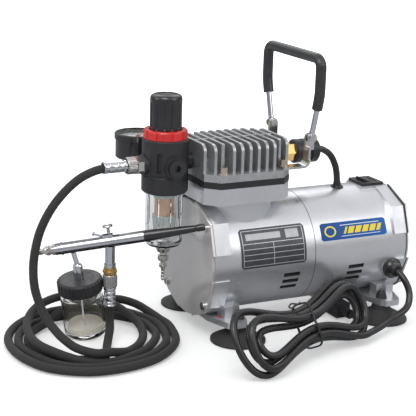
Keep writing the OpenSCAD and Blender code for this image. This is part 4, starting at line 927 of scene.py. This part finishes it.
def build_gauge():
    """The dial's face with its scale. Angles are in degrees, and zero is on the right."""
    at = Matrix.Translation(GAUGE)
    solid = Solid().revolve([(1.1, 16.6), (1.1, 17.1), (18.6, 17.1), (18.7, 16.6)], at, 64,
                            caps=OPEN)
    solid.revolve([(1.1, 16.6), (18.7, 16.6)], at, 64, caps=OPEN)
    # scale: short and long ticks, an inner arc and a coloured working range
    for k in range(51):
        a = math.radians(225 - 270 * k / 50)
        long = k % 5 == 0
        r0, r1, w = (13.2, 16.2, 0.34) if long else (14.6, 16.2, 0.16)
        c, s = math.cos(a), math.sin(a)
        corners = [(r0, -w), (r1, -w), (r1, w), (r0, w)]
        outline = [(GAUGE[0] + r * c - t * s, GAUGE[1] + r * s + t * c) for r, t in corners]
        solid.prism(outline, GAUGE[2] + 17.0, GAUGE[2] + 17.16, edge=0.03, mark=1)
    for r0, r1, a0, a1, mark in ((16.7, 17.1, 225, -45, 1), (11.2, 12.4, 225, 100, 2),
                                 (11.2, 12.4, 100, 10, 3), (11.2, 12.4, 10, -45, 4)):
        arc = [math.radians(a) for a in np.linspace(a0, a1, 40)]
        grid = [[(GAUGE[0] + r * math.cos(a), GAUGE[1] + r * math.sin(a), GAUGE[2] + 17.14)
                 for r in (r0, r1)] for a in arc]
        solid.rows(grid, False, OPEN, mark)
    piece("dial_scale", solid, [WHITE, INK, BLUE_INK, GREEN_INK, RED], "gauge_dial")


# ---------------------------------------------------------------------- airbrush

def build_jar():
    """Glass jar with a film of paint inside, and its ribbed lid."""
    outer = soft([(0.01, 0.8), (6, 0), (15.8, 0), (17.6, 0.8), (18.4, 2.6), (18.4, 35),
                  (17.4, 38), (16.2, 40), (16.2, 49)], 1.0, 4)
    inner = soft([(14.4, 49), (14.4, 39), (16.2, 35), (16.2, 5.4), (14.2, 3.5), (0.01, 3.9)],
                 1.0, 4)
    swirl = lambda angle, h, r: 0.06 * np.sin(3 * angle + h * 0.3) * (h > 3) * (r < 16.4)
    wall = dense(outer, 3) + dense(inner, 3)
    solid = Solid().revolve(wall, ON_JAR, 96, swirl)
    piece("jar_glass", solid, [JAR], "jar")

    # a thin film of pale paint left on the bottom and the lower wall
    tide = lambda angle, h, r: -0.25 - 0.2 * np.sin(2 * angle) * (h > 6)
    film = [(0.01, 4.1), (13.8, 3.9), (15.4, 4.8), (15.9, 6.0), (15.9, 9.5), (15.5, 9.6),
            (15.2, 6.2), (14.4, 5.2), (0.01, 5.0)]
    solid = Solid().revolve(soft(film, 0.6), ON_JAR, 64, tide)
    piece("jar_residue", solid, [RESIDUE], "jar", stands_for=False)

    ribs = lambda angle, h, r: 0.75 * np.clip(np.cos(30 * angle) * 1.6, 0, 1) * (41.8 < h < 51.2)
    cap = soft([(16.6, 40.4), (18.5, 40.4), (18.8, 41.2), (18.8, 50.8), (18.6, 51.6),
                (17.2, 52.4), (12, 52.4), (11.6, 52.2), (1.6, 52.2)], 0.5)
    solid = Solid().revolve(dense(cap, 0.9, 41.2, 51.4), ON_JAR, 240, ribs, caps=OPEN)
    solid.revolve([(1.6, 52.2), (1.6, 50.2), (16.6, 50.2), (16.6, 40.4)], ON_JAR, 96,
                  caps=OPEN)
    piece("jar_lid", solid, [BLACK], "jar_cap", angle=50)


# ------------------------------------------------------------------------ labels

def curved_label(name, x0, x1, a0, a1, material):
    """A film with rounded corners, bent round the motor body."""
    solid = Solid()
    cols, rows, corner = 30, 16, 2.2
    high = BARREL_R * math.radians(a1 - a0)

    def point(i, k, lift):
        u, v = k / cols * (x1 - x0), i / rows * high
        trim = 0.0
        for edge in (v, high - v):
            if edge < corner:
                trim = corner - math.sqrt(max(corner ** 2 - (corner - edge) ** 2, 0))
        x = x0 + trim + u / (x1 - x0) * (x1 - x0 - 2 * trim)
        a = math.radians(a0) + v / BARREL_R
        r = BARREL_R + lift
        return (x, -r * math.cos(a), AXIS_Z + r * math.sin(a))

    spread = lambda i, k: (k / cols, i / rows)
    top = [[point(i, k, 0.36) for k in range(cols + 1)] for i in range(rows + 1)]
    low = [[point(i, k, 0.02) for k in range(cols + 1)] for i in range(rows + 1)]
    solid.rows(top, False, OPEN, 0, spread)
    solid.rows(low, False, OPEN)
    n = cols + 1
    rim = ([(0, k) for k in range(cols)] + [(i, cols) for i in range(rows)]
           + [(rows, k) for k in range(cols, 0, -1)] + [(i, 0) for i in range(rows, 0, -1)])
    count = n * (rows + 1)
    for (i, k), (j, m) in zip(rim, rim[1:] + rim[:1]):
        solid.face((i * n + k, j * n + m, count + j * n + m, count + i * n + k))
    piece(name, solid, [material], "labels")


def build_labels():
    curved_label("rating_plate", -72, -7.5, -2, 38, PLATE_PRINT)
    curved_label("side_film", 9, 77.5, 16.5, 34.5, SIDE_PRINT)


# ------------------------------------------------------- floor, light, camera

def by_ray(s, seen, mirrored):
    """One value for what the camera and diffuse light see, another for reflections."""
    glossy = s.tree.nodes.new("ShaderNodeLightPath").outputs["Is Glossy Ray"]
    return s.mix(glossy, seen, mirrored)


def floor():
    """Pale paper with a painted glow that lifts it to white away from the object, and painted grey
    in reflections.
    """
    bpy.ops.mesh.primitive_plane_add(size=30, location=(0, 0, -0.0006))
    paper = bpy.context.object
    paper.name = "floor"
    s = Shader("floor_paper")
    pale = s.mix(s.noise(3, 3), (0.91, 0.91, 0.91), (0.94, 0.94, 0.94))
    # painted reflection: the paper shows grey in reflections, so the metals mirror a darker floor
    s.set(Base_Color=by_ray(s, pale, (0.40, 0.405, 0.42)), Roughness=0.9)
    away = s.node("ShaderNodeVectorMath", {0: s.coord.outputs["Object"]}, operation="LENGTH")
    # painted glow: the paper emits to camera and transmission rays, rising with distance from the
    # origin
    lift = s.ramp(away.outputs["Value"], 0.30, 1.3, 0.35, 1.3)
    rays = s.tree.nodes.new("ShaderNodeLightPath")
    direct = s.math("MAXIMUM", rays.outputs["Is Camera Ray"], rays.outputs["Is Transmission Ray"])
    s.set(Emission_Color=(1, 1, 1, 1), Emission_Strength=s.math("MULTIPLY", direct, lift))
    paper.data.materials.append(s.material)


def room():
    """White to the camera, even light on matt surfaces, a dark-to-light wall in reflections."""
    world = bpy.data.worlds.new("studio")
    bpy.context.scene.world = world
    world.use_nodes = True
    nodes, links = world.node_tree.nodes, world.node_tree.links
    rays = nodes.new("ShaderNodeLightPath")

    def glow(made, colour, strength):
        made.inputs[0].default_value = (*colour, 1)
        made.inputs[1].default_value = strength
        return made

    def choose(ray, chosen, otherwise):
        """One light for this kind of ray, and another for the rest."""
        made = nodes.new("ShaderNodeMixShader")
        links.new(rays.outputs[ray], made.inputs[0])
        links.new(otherwise.outputs[0], made.inputs[1])
        links.new(chosen.outputs[0], made.inputs[2])
        return made

    white = glow(nodes["Background"], (1, 1, 1), 1)
    soft_light = glow(nodes.new("ShaderNodeBackground"), (0.97, 0.985, 1), 0.62)
    wall = glow(nodes.new("ShaderNodeBackground"), (1, 1, 1), 1)
    split = nodes.new("ShaderNodeSeparateXYZ")
    links.new(nodes.new("ShaderNodeTexCoord").outputs["Generated"], split.inputs[0])
    shade = nodes.new("ShaderNodeValToRGB")
    links.new(split.outputs["Z"], shade.inputs[0])
    links.new(shade.outputs[0], wall.inputs[0])
    ends = shade.color_ramp.elements
    ends[0].position, ends[0].color = 0.0, (0.42, 0.42, 0.42, 1)
    ends[1].position, ends[1].color = 1.0, (0.6, 0.6, 0.6, 1)
    for place, value in ((0.10, 0.20), (0.26, 0.34), (0.50, 0.80), (0.70, 1.0), (0.90, 0.66)):
        ends.new(place).color = (value, value * 1.01, value * 1.03, 1)

    light = choose("Is Glossy Ray", wall, choose("Is Diffuse Ray", soft_light, white))
    links.new(light.outputs[0], nodes["World Output"].inputs[0])


def lamps():
    """Four square area lamps, each with its place, size and power, aimed at the object."""
    aim = Vector((-0.06, 0, 0.10))
    for name, place, size, power in (("key", (-0.75, -0.75, 1.5), 0.9, 9.5),
                                     ("fill", (0.9, -1.3, 0.9), 0.9, 3.5),
                                     ("back", (0.5, 1.3, 1.3), 1.0, 3.5),
                                     ("left", (-1.7, 0.3, 0.8), 0.8, 2.5)):
        light = bpy.data.lights.new(name, "AREA")
        light.size = size
        light.energy = power
        lamp = bpy.data.objects.new(name, light)
        lamp.location = place
        lamp.rotation_euler = (aim - Vector(place)).to_track_quat("-Z", "Y").to_euler()
        bpy.context.scene.collection.objects.link(lamp)


def camera():
    """The photograph's viewpoint: 26.6 degrees to the left of the front, 15.8 above."""
    turn = math.radians(26.6)
    tilt = math.radians(15.8)
    roll = math.radians(1.6)
    distance = 1.1602
    target = Vector((-0.0903, 0, 0.0972))
    back = Vector((-math.sin(turn) * math.cos(tilt), -math.cos(turn) * math.cos(tilt),
                   math.sin(tilt)))
    right = Vector((math.cos(turn), -math.sin(turn), 0))
    up = back.cross(right)
    tilted_right = right * math.cos(roll) + up * math.sin(roll)
    tilted_up = up * math.cos(roll) - right * math.sin(roll)
    view = bpy.data.cameras.new("camera")
    view.lens = 114.03
    view.sensor_width = 36
    view.shift_x = 0.0240
    view.shift_y = 0.0269
    obj = bpy.data.objects.new("camera", view)
    rows = Matrix((tilted_right, tilted_up, back)).transposed().to_4x4()
    obj.matrix_world = Matrix.Translation(target + back * distance) @ rows
    bpy.context.scene.collection.objects.link(obj)
    bpy.context.scene.camera = obj


dress_nodes()
build_hose()
build_hose_ends()
build_cord()
build_regulator()
build_gauge()
build_jar()
build_labels()

floor()
room()
lamps()
camera()
bpy.context.scene.view_settings.view_transform = "Standard"
